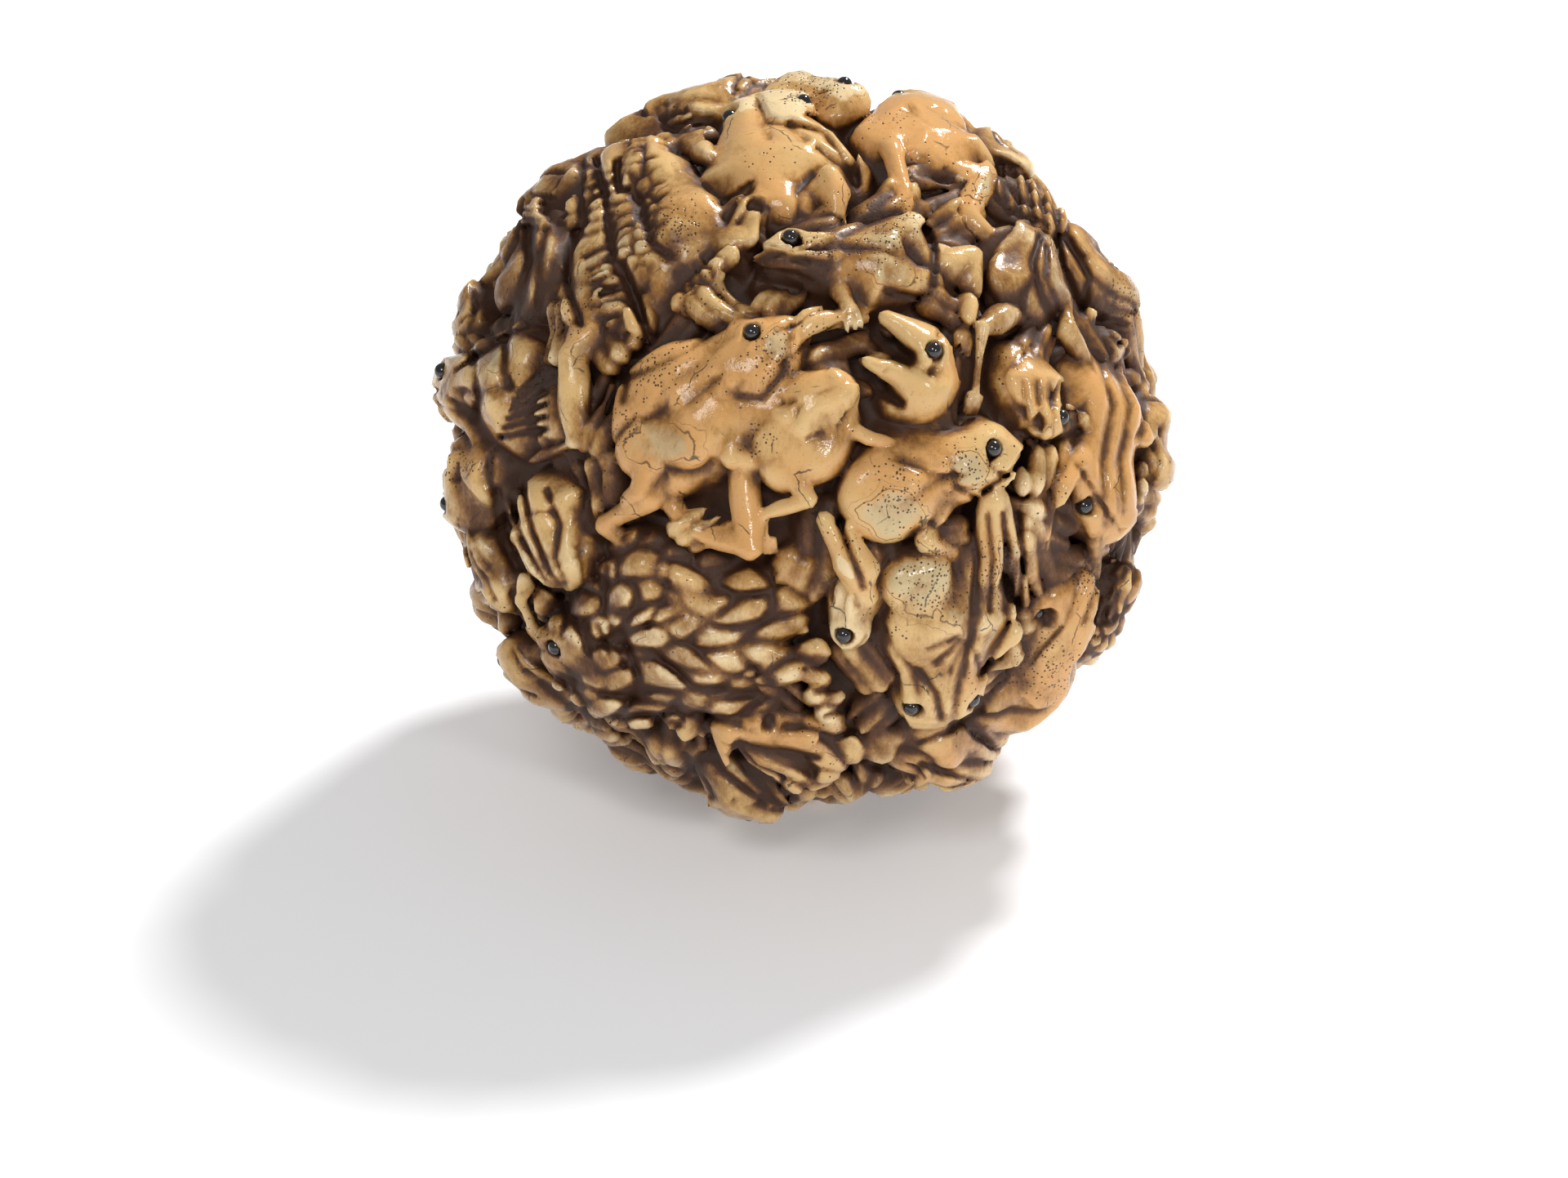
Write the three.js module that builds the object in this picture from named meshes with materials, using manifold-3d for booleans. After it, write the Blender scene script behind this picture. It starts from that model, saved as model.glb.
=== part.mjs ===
// A carved ball okimono: frogs and toads crowd over a ball cut from one piece of ivory, with small black
// beads let into pockets as eyes. A few pockets have lost their bead. The ball rests on the back of its
// lowest toad, which is worn to a small flat.
import * as THREE from "three";
import { mergeVertices } from "three/addons/utils/BufferGeometryUtils.js";
import Module from "manifold-3d";

const wasm = await Module();
wasm.setup();

// Driving sizes, in millimetres and degrees.
const GROUND_RADIUS = 22.4; // the ball's ground, between the creatures
const RELIEF_HEIGHT = 5.0; // the backs stand this far above the ground
const FRONT_TILT = 24; // the front of the ball looks this far above the horizon
const FOOT_WEAR = 1.0; // taken off the lowest toad's back, so that the ball stands
const ROOTED = 2; // the bodies' undersides reach this far into the ground
const UNDERSIDE = 0.2; // what is this much lower than the middle of a body is its underside
const EYE_DIAMETER = 1.2;
const EYE_CLEARANCE = 0.1; // all round a bead in its pocket
const EYE_DEPTH = 0.1; // the bead's middle is this far inside the brow's corner
const RIM = 0.995; // no place is further from the middle of a view than this share of the ball's radius
const LIMB_SIDES = 3;
const BODY_SIDES = { broad: 8, slight: 6 };
const SHARPEST_BEND = 95; // a joint bent further is folded, and its bones are carved side by side
const END_RISE = 0.5; // snout and vent stand higher than the body's middle, by this share of its depth
const TOAD_WIDTH = 1.12; // a toad is this much broader than a frog
const LIES_FROM = 40; // a creature that leans over further lies on its side

// The body as rings along the spine, as shares of the creature's length: at is the place from vent to
// snout, wide and deep are half its width and half its depth, rise lifts it towards the back, and brow
// pushes out the two upper corners where the eyes stand.
const RINGS = [
  { at: 0.0, wide: 0.0, deep: 0.0, rise: -0.03, brow: 1 },
  { at: 0.13, wide: 0.22, deep: 0.19, rise: 0.0, brow: 1 },
  { at: 0.34, wide: 0.31, deep: 0.27, rise: 0.0, brow: 1 },
  { at: 0.59, wide: 0.24, deep: 0.22, rise: 0.0, brow: 1 },
  { at: 0.77, wide: 0.18, deep: 0.155, rise: 0.0, brow: 1.25 },
  { at: 0.9, wide: 0.11, deep: 0.09, rise: -0.01, brow: 1 },
  { at: 1.0, wide: 0.0, deep: 0.0, rise: -0.03, brow: 1 },
];
const CHEST_RING = RINGS[3];
const EYE_RING = RINGS[4];
const SLIGHT_RINGS = RINGS.filter((ring) => ring.at !== 0.9); // a small creature's snout is plain

// The limbs: root is where they leave the body, as RINGS is; wide and deep are half the width and depth at
// the root and each joint, as shares of the length; heights are the joints' heights over the ground, in mm.
const LIMBS = {
  hind: {
    root: { at: 0.14, wide: 0.12, deep: -0.02 },
    wide: [0.09, 0.075, 0.06, 0.07],
    deep: [0.09, 0.08, 0.065, 0.04],
    heights: [3.9, 3.3, 2.6],
  },
  fore: {
    root: { at: 0.57, wide: 0.16, deep: -0.04 },
    wide: [0.07, 0.055, 0.06, 0.05],
    deep: [0.07, 0.06, 0.04, 0.03],
    heights: [3.7, 3.0, 2.4],
  },
  jaw: { root: { at: 0.72, wide: 0, deep: -0.06 }, wide: [0.12, 0.03], deep: [0.07, 0.03], heights: [3.9] },
};

// A crouching creature's knee and hand on its left side, as shares of its length along and beside the
// spine. Its shin lies along its thigh, and the two are one bar.
const CROUCH = { hind: [[0.44, 0.36]], fore: [[0.8, 0.32]] };

// Two finishes of the skin: long folds and warts, as the share by which every other vertex stands back.
const PLEATED = { pleats: 0.22 };
const WARTY = { warts: 0.1 };

// The creatures that the ball's front shows. Places are in millimetres right of and above the middle of the
// ball, seen from the front: spine runs from the vent to the snout, and a limb's joints run to its end.
// roll leans the back over to the creature's left, in degrees.
const FRONT = [
  {
    name: "leaping",
    spine: [[-12.8, 0], [-7.9, 3.4], [0.2, 9.3]],
    roll: 68, girth: 0.97, eyes: { right: "bead" },
    limbs: [
      ["hind", [-11.3, -3.4], [-14.6, -5.7], [-12.4, -7.9]],
      ["fore", [-5.1, -0.6], [-2.3, -1.4]],
      ["fore", [0.5, 9], [2.9, 9.8]],
      ["fore", [-3.9, -7.3], [-8.2, -6.1], [-10.2, -3.8]],
    ],
  },
  {
    name: "calling",
    spine: [[-1.7, -0.8], [1.3, 2.7], [5.3, 4.2], [9, 5.4], [5.8, 9.6]],
    roll: -60, girth: 0.76, eyes: { left: "bead" },
    limbs: [
      ["hind", [0.4, -3.8], [-2.9, -5], [-2.6, -6.9]],
      ["fore", [4.8, 0.7], [7.3, 0.2]],
      ["jaw", [4.2, 6.1]],
    ],
  },
  {
    name: "resting",
    spine: [[3.5, -6.2], [7.7, -2.5], [16.2, 0.3]],
    roll: 60, girth: 0.94, eyes: { right: "bead" },
    limbs: [["hind", [4.3, -10.7], [2, -4.9]], ["fore", [9, -6.7], [11.1, -7.7]]],
  },
  {
    name: "backward",
    spine: [[10.2, 12], [5.9, 14], [-4.1, 13.5]],
    roll: -65, girth: 0.86, eyes: { left: "bead" },
    limbs: [["hind", [12.4, 13.8], [12.1, 8.6]], ["fore", [3.4, 10.2]]],
  },
  {
    name: "smooth",
    spine: [[-0.8, 17.5], [-1.4, 20.8], [-2.8, 26]],
    roll: 5, girth: 1.1, eyes: { left: "bead", right: "bead" },
    limbs: [["hind", [2, 19.6], [2.6, 17.4]]],
  },
  {
    name: "crowned",
    spine: [[10.1, 19.9], [9.5, 22.9], [9.8, 26.5]],
    roll: 0, girth: 1.1, eyes: { left: "bead" },
    limbs: [["hind", [13.6, 20.2], [12.3, 17.4], [15.6, 15.1]], ["fore", [6.7, 21.9], [7.8, 18.7]]],
  },
  {
    name: "ridged", ...PLEATED,
    spine: [[-12, 7.7], [-12.8, 14.9], [-13.4, 22.5]],
    roll: 8, girth: 0.92, toad: true,
    limbs: [
      ["hind", [-16.7, 6.6], [-16.9, 0.3], [-21, -1.1]],
      ["fore", [-5.1, 14.1], [-8.9, 10.7], [-5.3, 8.4]],
    ],
  },
  {
    name: "flank_left",
    spine: [[-17.4, 7.4], [-22, 5.7], [-26.7, 4.7]],
    roll: -55, girth: 1, eyes: { left: "bead" },
    limbs: [["fore", [-24.6, 2.9], [-24.1, 0.2]]],
  },
  {
    name: "shelled",
    spine: [[-22.4, 8.6], [-20.8, 13.1], [-19.8, 17.8]],
    roll: 15, girth: 1.1, toad: true,
    limbs: [],
  },
  {
    name: "hollow_eyed", slight: true,
    spine: [[-16.2, 17.8], [-17.5, 19.5], [-20.4, 18.7]],
    roll: 0, girth: 1.3, eyes: { left: "lost", right: "bead" },
    limbs: [],
  },
  {
    name: "rim_left", slight: true,
    spine: [[-25.9, 7.4], [-25.3, 9.6], [-24.2, 12.5]],
    roll: 0, girth: 1.2,
    limbs: [],
  },
  {
    name: "blind", slight: true,
    spine: [[-6.8, 13.4], [-5.3, 15.4], [-3.4, 18.6]],
    roll: 10, girth: 1.1, eyes: { right: "lost" }, sink: 0.6,
    limbs: [],
  },
  {
    name: "clasping", slight: true,
    spine: [[-12, 22.9], [-10, 25.1], [-5.6, 25.5]],
    roll: -10, girth: 1.3, eyes: { left: "bead" },
    limbs: [["fore", [-6.8, 21.4], [-8.2, 23.8]]],
  },
  {
    name: "netted_top", slight: true, ...WARTY,
    spine: [[-1.3, 26.3], [-4.3, 26.7], [-7.9, 26.3]],
    roll: 0, girth: 1.4, toad: true,
    limbs: [],
  },
  {
    name: "summit",
    spine: [[-4, 26.9], [0.5, 26.3], [5.1, 25.1]],
    roll: -30, girth: 0.95, eyes: { left: "bead" },
    limbs: [],
  },
  {
    name: "pleated", ...PLEATED,
    spine: [[14, 21.3], [16.3, 18.7], [19, 15.4]],
    roll: 0, girth: 1.3,
    limbs: [],
  },
  {
    name: "rim_high", slight: true,
    spine: [[11.3, 23.8], [14, 22.3], [17.1, 19.9]],
    roll: 0, girth: 1.2,
    limbs: [],
  },
  {
    name: "domed", spine: [[17.8, 9], [17.2, 12.2], [17.1, 16.2]], roll: 5, girth: 1.3,
    limbs: [["hind", [13.1, 8.7], [12.8, 3.8]]],
  },
  {
    name: "flank_right",
    spine: [[19, 17.8], [21.7, 13.8], [24.8, 10.1]],
    roll: 20, girth: 0.95, eyes: { left: "bead" },
    limbs: [["hind", [19.6, 8.6], [22, 5.4]]],
  },
  {
    name: "facing",
    spine: [[16.8, 7.1], [17.1, 4.1], [17.7, 0.4]],
    roll: 0, girth: 1.15, eyes: { left: "bead", right: "lost" },
    limbs: [["fore", [20.7, 2.6], [21.1, 0.2]]],
  },
  {
    name: "long", ...PLEATED,
    spine: [[24.3, 7.4], [22.8, 0.2], [22.2, -7.6]],
    roll: -15, girth: 0.9, eyes: { right: "bead" },
    limbs: [["fore", [18.9, -2.8], [18.2, -6.4]]],
  },
  {
    name: "slim", slight: true,
    spine: [[25.7, 3.8], [26.6, 0.5], [26, -3.2]],
    roll: 0, girth: 1, eyes: { left: "bead" },
    limbs: [],
  },
  {
    name: "rearing", ...PLEATED,
    spine: [[12.8, -20.8], [16.8, -19.2], [19, -15.1], [21.2, -9]],
    roll: 45, girth: 0.75, eyes: { left: "bead" },
    limbs: [],
  },
  {
    name: "netted_low", slight: true, ...WARTY,
    spine: [[20.5, -16.9], [22.8, -13.3], [24.3, -8.5]],
    roll: 0, girth: 1, toad: true,
    limbs: [["fore", [21.7, -7], [24.1, -8.8]]],
  },
  {
    name: "diving",
    spine: [[11.6, -7.6], [11, -13.9], [9.2, -20.9]],
    roll: 0, girth: 0.95, eyes: { left: "bead", right: "bead" },
    limbs: [["fore", [15.4, -13.6], [16, -15.8], [14.3, -16.8]], ["hind", [13.7, -3.7], [16, -7.9]]],
  },
  {
    name: "hiding", slight: true,
    spine: [[5.3, -8.5], [4.2, -10.9], [3.1, -14.7]],
    roll: 35, girth: 0.8, eyes: { right: "bead" }, sink: 0.5,
    limbs: [],
  },
  {
    name: "warty", ...WARTY,
    spine: [[-0.8, -12], [-8.8, -15.1], [-18.9, -17]],
    roll: 10, girth: 0.95, eyes: { right: "bead" }, toad: true,
    limbs: [["hind", [0.5, -14.5], [1.6, -18.8], [2.9, -22.3]]],
  },
  {
    name: "grooved", ...PLEATED,
    spine: [[3.8, -25.4], [0.2, -23.5], [-6.7, -20.2]],
    roll: -25, girth: 1, eyes: { right: "lost" },
    limbs: [["fore", [1.7, -20.5], [3.2, -22]]],
  },
  {
    name: "mouthed", ...PLEATED,
    spine: [[4.8, -23.8], [9.5, -23], [14.4, -23.1]],
    roll: 30, girth: 1.1,
    limbs: [],
  },
  {
    name: "under_front", slight: true,
    spine: [[-8.6, -24.4], [-5.5, -25.6], [-1.2, -27]],
    roll: 20, girth: 1.2, eyes: { right: "bead" },
    limbs: [],
  },
  {
    name: "rim_low_left", slight: true,
    spine: [[-17.5, -20.4], [-19.9, -17.6], [-21.9, -14.2]],
    roll: -15, girth: 1.1, eyes: { left: "bead" },
    limbs: [],
  },
  {
    name: "folded", ...PLEATED,
    spine: [[-20.8, -2.5], [-19.2, -6.1], [-16.6, -10.5]],
    roll: 5, girth: 1.45,
    limbs: [["fore", [-21, -11.2], [-20.5, -13.9]]],
  },
  {
    name: "peering", slight: true,
    spine: [[-23.5, 0.2], [-24.6, -2.5], [-25.1, -6.2]],
    roll: 30, girth: 1.2, eyes: { right: "bead" },
    limbs: [],
  },
  {
    name: "lower_left", slight: true,
    spine: [[-22.2, -13], [-23.6, -9.4], [-24.5, -5.8]],
    roll: 30, girth: 1.2,
    limbs: [],
  },
];

// The creatures of the other side, seen from the back, by the middle of the spine, the way that the snout
// points, the length and the spine's bend. The photograph doesn't show them.
const BACK = [
  {
    name: "foot", middle: [0, -24.9],
    heading: 5, length: 17, bend: 0, roll: 0, girth: 1.1, toad: true,
    limbs: [],
  },
  {
    name: "back_leaping", middle: [0, 2.5],
    heading: 25, length: 17, bend: 20,
    slight: true, roll: 65, girth: 1.1, eyes: { right: "bead" },
  },
  {
    name: "back_toad", middle: [-11.5, 8],
    heading: 105, length: 18.5, bend: -10,
    slight: true, roll: 8, girth: 1.1, eyes: { left: "bead", right: "bead" }, toad: true, ...WARTY,
  },
  {
    name: "back_smooth", middle: [10.5, 10.5],
    heading: -65, length: 16.5, bend: 0,
    slight: true, roll: -8, girth: 1.15, eyes: { left: "bead", right: "bead" },
  },
  {
    name: "back_resting", middle: [-8, -7.5],
    heading: 200, length: 16.5, bend: 25,
    slight: true, roll: -60, girth: 1.1, eyes: { left: "bead" },
  },
  {
    name: "back_folded", middle: [9.5, -7.5],
    heading: 82, length: 16, bend: -15,
    slight: true, roll: 5, girth: 1.2, eyes: { right: "bead" }, ...PLEATED,
  },
  {
    name: "back_warty", middle: [1, -16.5],
    heading: 165, length: 18, bend: 10,
    slight: true, roll: 0, girth: 1.15, toad: true, ...WARTY,
  },
  {
    name: "back_climbing", middle: [-18.5, -3],
    heading: 72, length: 16, bend: 20,
    slight: true, roll: 25, girth: 1.1, eyes: { left: "bead" },
  },
  {
    name: "back_turning", middle: [19.5, 1],
    heading: -82, length: 16, bend: 35,
    slight: true, roll: 30, girth: 1.05,
  },
  {
    name: "back_crossing", middle: [0.5, 15.5],
    heading: 8, length: 16.5, bend: -20,
    slight: true, roll: -55, girth: 1.1, eyes: { left: "bead" },
  },
  {
    name: "back_high_left", middle: [-11, 19.5],
    heading: 150, length: 15.5, bend: 0,
    slight: true, roll: 0, girth: 1.15, ...PLEATED,
  },
  {
    name: "back_high_right", middle: [12, 20],
    heading: 35, length: 15.5, bend: 10,
    slight: true, roll: 10, girth: 1.15,
  },
  {
    name: "back_rim_left", middle: [-21.5, 11],
    heading: 250, length: 14.5, bend: 0,
    slight: true, roll: 0, girth: 1.15,
  },
  {
    name: "back_low_right", middle: [18.5, -13],
    heading: 55, length: 16, bend: -20,
    slight: true, roll: 15, girth: 1.1, ...PLEATED,
  },
  {
    name: "back_low_left", middle: [-14.5, -17],
    heading: -40, length: 16, bend: 15,
    slight: true, roll: -20, girth: 1.1, eyes: { right: "bead" },
  },
  {
    name: "back_top", middle: [1, 24.5],
    heading: 185, length: 14.5, bend: 0,
    slight: true, roll: 0, girth: 1.1,
  },
];

const radians = THREE.MathUtils.degToRad;

// A closed mesh as a solid that can be joined and cut.
function solid(geometry) {
  const plain = geometry.clone();
  plain.deleteAttribute("normal");
  plain.deleteAttribute("uv");
  const merged = mergeVertices(plain, 1e-4);
  return new wasm.Manifold(
    new wasm.Mesh({
      numProp: 3,
      vertProperties: merged.attributes.position.array,
      triVerts: new Uint32Array(merged.index.array),
    }),
  );
}

// The solid as a mesh geometry again.
function geometryOf(manifold) {
  const mesh = manifold.getMesh();
  return new THREE.BufferGeometry()
    .setAttribute("position", new THREE.BufferAttribute(mesh.vertProperties, 3))
    .setIndex(new THREE.BufferAttribute(mesh.triVerts, 1));
}

// A place on the ball's outer surface, from its place in the view of the front or the back.
function placeOn([x, y], side) {
  const outer = GROUND_RADIUS + RELIEF_HEIGHT;
  const off = Math.min(1, (RIM * outer) / Math.hypot(x, y));
  const depth = Math.sqrt(outer ** 2 - (off * x) ** 2 - (off * y) ** 2);
  const tilt = radians(FRONT_TILT);
  const front = new THREE.Vector3(0, -Math.cos(tilt), Math.sin(tilt));
  const top = new THREE.Vector3(0, Math.sin(tilt), Math.cos(tilt));
  return new THREE.Vector3(side * off * x, 0, 0)
    .addScaledVector(top, off * y)
    .addScaledVector(front, side * depth);
}

// Three points of a spine that is given by its middle.
function arcOf(c, side) {
  const middle = placeOn(c.middle, side);
  const across = new THREE.Vector3(side, 0, 0).projectOnPlane(middle.clone().normalize()).normalize();
  const up = middle.clone().normalize().cross(across);
  const turned = (way) => across.clone().multiplyScalar(Math.cos(way)).addScaledVector(up, Math.sin(way));
  const reach = Math.tan(c.length / 2 / middle.length()) * middle.length();
  const vent = middle.clone().addScaledVector(turned(radians(c.heading - c.bend)), -reach);
  const snout = middle.clone().addScaledVector(turned(radians(c.heading + c.bend)), reach);
  return [vent.setLength(middle.length()), middle, snout.setLength(middle.length())];
}

// A creature's spine as a curve on the ball, and its body's own directions at any place along it.
function spineOf(c, side) {
  const points = c.spine ? c.spine.map((p) => placeOn(p, side)) : arcOf(c, side);
  const curve = new THREE.CatmullRomCurve3(points);
  const length = curve.getLength();
  const breadth = c.girth * (c.toad ? TOAD_WIDTH : 1);
  const roll = radians(c.roll);
  const thick = c.girth * Math.hypot(RINGS[2].deep * Math.cos(roll), RINGS[2].wide * Math.sin(roll));
  const outer = GROUND_RADIUS + RELIEF_HEIGHT - (c.sink ?? 0);
  const point = (at, wide, deep) => {
    const slope = 2 * Math.abs(at - RINGS[2].at);
    const radius = outer - thick * length * (1 - END_RISE * Math.min(1, slope) ** 2);
    const out = curve.getPointAt(at).normalize();
    const along = curve.getTangentAt(at).cross(out).cross(out).negate().normalize();
    const left = out.clone().cross(along);
    const back = out.clone().multiplyScalar(Math.cos(roll)).addScaledVector(left, Math.sin(roll));
    left.multiplyScalar(Math.cos(roll)).addScaledVector(out, -Math.sin(roll));
    return out
      .multiplyScalar(radius)
      .addScaledVector(left, wide * length * breadth)
      .addScaledVector(back, deep * length * c.girth);
  };
  return { length, point };
}

// The body and head: a sphere whose rows are moved to the rings.
function torso(c, spine) {
  const rings = c.slight ? SLIGHT_RINGS : RINGS;
  const rows = rings.length - 1;
  const sides = c.slight ? BODY_SIDES.slight : BODY_SIDES.broad;
  const g = new THREE.SphereGeometry(1, sides, rows);
  const p = g.attributes.position;
  for (let i = 0; i < p.count; i++) {
    const row = Math.round((Math.acos(THREE.MathUtils.clamp(p.getY(i), -1, 1)) / Math.PI) * rows);
    const ring = rings[rows - row];
    const girth = Math.max(1e-9, Math.hypot(p.getX(i), p.getZ(i)));
    const [left, back] = [p.getZ(i) / girth, p.getX(i) / girth];
    const column = Math.round((Math.atan2(left, back) / (2 * Math.PI)) * sides) + sides;
    const corner = back > 0.1 && Math.abs(left) > 0.1 ? ring.brow : 1;
    const pleat = column % 2 ? 0 : (c.pleats ?? 0);
    const wart = (column + row) % 2 ? 0 : (c.warts ?? 0);
    const swell = ring.at <= CHEST_RING.at ? 1 - pleat - wart : 1;
    const core = spine.point(ring.at, 0, 0);
    const v = spine.point(
      ring.at,
      left * ring.wide * corner * swell,
      back * ring.deep * corner * swell + ring.rise,
    );
    const underneath = v.length() < core.length() - UNDERSIDE;
    if (underneath) v.setLength(Math.min(v.length(), GROUND_RADIUS - ROOTED));
    p.setXYZ(i, v.x, v.y, v.z);
  }
  return solid(g);
}

// A limb from its root through its joints. Where a joint is folded, the bones are separate bars.
function limb(spine, kind, side, places) {
  const { root } = kind;
  const joints = places.map((p, i) => p.clone().setLength(GROUND_RADIUS + kind.heights[i]));
  joints.unshift(spine.point(root.at, side * root.wide, root.deep));
  const ways = joints.slice(1).map((j, i) => j.clone().sub(joints[i]).normalize());
  const folds = [];
  for (let i = 1; i < ways.length; i++) {
    if (ways[i].angleTo(ways[i - 1]) > radians(SHARPEST_BEND)) folds.push(i);
  }
  return [...folds, ways.length].map((last, i) => bar(spine, kind, joints, ways, folds[i - 1] ?? 0, last));
}

// The stretch of a limb between two of its joints.
function bar(spine, kind, joints, ways, first, last) {
  const g = new THREE.CylinderGeometry(1, 1, last - first, LIMB_SIDES, last - first);
  const p = g.attributes.position;
  for (let i = 0; i < p.count; i++) {
    const joint = Math.round(p.getY(i) + (first + last) / 2);
    const before = ways[Math.max(first, joint - 1)];
    const after = ways[Math.min(last - 1, joint)];
    const out = joints[joint].clone().normalize();
    const along = before.clone().add(after).normalize();
    const beside = along.clone().cross(out).normalize();
    const wide = (p.getX(i) * kind.wide[joint] * spine.length) / Math.cos(before.angleTo(after) / 2);
    const high = p.getZ(i) * kind.deep[joint] * spine.length;
    const v = joints[joint].clone().addScaledVector(beside, wide).addScaledVector(out, high);
    p.setXYZ(i, v.x, v.y, v.z);
  }
  return solid(g);
}

// Which side of the body a place is on: 1 for its left, -1 for its right.
function sideOf(spine, at, place) {
  const [left, right] = [1, -1].map((s) => spine.point(at, s * 0.2, 0).distanceTo(place));
  return left < right ? 1 : -1;
}

// A creature that lies on its side shows the two limbs of its upper side, and another its hind legs.
function crouchingLimbs(c, spine) {
  const upper = -Math.sign(c.roll);
  const onItsSide = Math.abs(c.roll) > LIES_FROM;
  const shown = onItsSide ? [["hind", upper], ["fore", upper]] : [["hind", 1], ["hind", -1]];
  return shown.flatMap(([kind, side]) =>
    limb(spine, LIMBS[kind], side, CROUCH[kind].map(([at, wide]) => spine.point(at, side * wide, 0))),
  );
}

function limbsOf(c, spine, view) {
  if (!c.limbs) return crouchingLimbs(c, spine);
  return c.limbs.flatMap(([name, ...places]) => {
    const kind = LIMBS[name];
    const joints = places.map((p) => placeOn(p, view));
    return limb(spine, kind, sideOf(spine, kind.root.at, joints[0]), joints);
  });
}

function creature(c, view) {
  const spine = spineOf(c, view);
  return [torso(c, spine), ...limbsOf(c, spine, view)];
}

// The middle of an eye, at the brow's corner on one side of the head.
function eyePlace(c, side, view) {
  const spine = spineOf(c, view);
  const { at, wide, deep, brow } = EYE_RING;
  const corner = c.slight ? radians(60) : radians(45);
  const top = spine.point(at, side * Math.sin(corner) * wide * brow, Math.cos(corner) * deep * brow);
  const inward = spine.point(at, 0, 0).sub(top).normalize();
  return top.addScaledVector(inward, EYE_DEPTH);
}

const eyes = [[FRONT, 1], [BACK, -1]].flatMap(([list, view]) =>
  list.flatMap((c) =>
    Object.entries(c.eyes ?? {}).map(([which, state]) => ({
      name: `${c.name}_eye_${which}`,
      middle: eyePlace(c, which === "left" ? 1 : -1, view),
      lost: state === "lost",
    })),
  ),
);

const ground = solid(new THREE.IcosahedronGeometry(GROUND_RADIUS, 1));
const joined = wasm.Manifold.union([
  ground,
  ...FRONT.flatMap((c) => creature(c, 1)),
  ...BACK.flatMap((c) => creature(c, -1)),
]);
// The undercuts that close up under a limb are left solid.
const uncut = joined.decompose().reduce((a, b) => (a.volume() > b.volume() ? a : b));
const pocket = new THREE.IcosahedronGeometry(EYE_DIAMETER / 2 + EYE_CLEARANCE, 0);
const pockets = eyes.map(({ middle }) => solid(pocket.clone().translate(middle.x, middle.y, middle.z)));
const floor = -(GROUND_RADIUS + RELIEF_HEIGHT - FOOT_WEAR);
const across = 3 * (GROUND_RADIUS + RELIEF_HEIGHT);
const below = solid(new THREE.BoxGeometry(across, across, across).translate(0, 0, floor - across / 2));
const ball = uncut.subtract(wasm.Manifold.union([...pockets, below]));

const ivory = new THREE.MeshStandardMaterial({ color: 0xd8b27c, roughness: 0.3, metalness: 0 });
const horn = new THREE.MeshStandardMaterial({ color: 0x0b0a0a, roughness: 0.1, metalness: 0 });

const okimono = new THREE.Group();
const carved = new THREE.Mesh(geometryOf(ball), ivory);
carved.name = "carved_ball";
okimono.add(carved);
for (const eye of eyes.filter((e) => !e.lost)) {
  const bead = new THREE.Mesh(new THREE.IcosahedronGeometry(EYE_DIAMETER / 2, 0), horn);
  bead.name = eye.name;
  bead.position.copy(eye.middle);
  okimono.add(bead);
}
okimono.position.z = -floor;

export default okimono;
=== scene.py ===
import math

import bpy
import numpy as np
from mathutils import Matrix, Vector


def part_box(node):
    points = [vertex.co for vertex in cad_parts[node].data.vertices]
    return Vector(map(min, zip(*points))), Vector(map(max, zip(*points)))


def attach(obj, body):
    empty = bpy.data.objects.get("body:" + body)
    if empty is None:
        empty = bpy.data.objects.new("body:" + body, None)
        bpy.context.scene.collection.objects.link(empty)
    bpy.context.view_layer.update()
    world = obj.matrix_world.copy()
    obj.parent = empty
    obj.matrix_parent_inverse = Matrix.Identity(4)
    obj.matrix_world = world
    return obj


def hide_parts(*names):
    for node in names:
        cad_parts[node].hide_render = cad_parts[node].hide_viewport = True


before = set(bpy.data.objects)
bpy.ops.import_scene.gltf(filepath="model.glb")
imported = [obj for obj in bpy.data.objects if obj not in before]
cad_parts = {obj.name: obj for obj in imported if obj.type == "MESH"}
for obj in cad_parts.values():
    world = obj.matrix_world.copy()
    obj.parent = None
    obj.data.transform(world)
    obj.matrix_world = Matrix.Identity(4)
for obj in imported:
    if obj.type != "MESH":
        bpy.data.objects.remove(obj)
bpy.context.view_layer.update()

# The ground of the ball: the round floor of the carving, which shows only in the hollows between the
# creatures. The whole okimono is cut from one piece of ivory, so it starts as one block of small cells,
# each holding its distance to the carved surface in millimetres, negative inside.
GROUND_RADIUS = 22.4
RELIEF_HEIGHT = 5.0
OUTER_RADIUS = GROUND_RADIUS + RELIEF_HEIGHT
FLOOR_RISE = 1.3
FOOT_WEAR = 1.0
MIDDLE_HEIGHT = OUTER_RADIUS - FOOT_WEAR
CELL = 0.2

ticks = np.arange(-OUTER_RADIUS - 1, OUTER_RADIUS + 1, CELL, dtype=np.float32)
square = ticks * ticks
distance = np.sqrt(square[:, None, None] + square[None, :, None] + square[None, None, :])
block = np.full(distance.shape, 9, np.float32)
owner = np.zeros(block.shape, np.int16)
# The groove holds how far the skin's relief and the graver's strokes cut in; the stain is darkened there,
# as painted shade in the creases.
groove = np.zeros(block.shape, np.float32)


def ripple(points, wave, seed):
    """A soft noise between about -1 and 1: a sum of waves of this length in millimetres."""
    rng = np.random.default_rng(seed)
    ways = rng.normal(size=(7, 3))
    ways *= (2 * math.pi / wave) * rng.uniform(0.6, 1.4, (7, 1)) / np.linalg.norm(ways, axis=1)[:, None]
    phases = rng.uniform(0, 2 * math.pi, 7)
    total = np.zeros(len(points), np.float32)
    for way, phase in zip(ways, phases):
        total += np.sin(points @ way.astype(np.float32) + np.float32(phase))
    return total / 3


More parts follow.
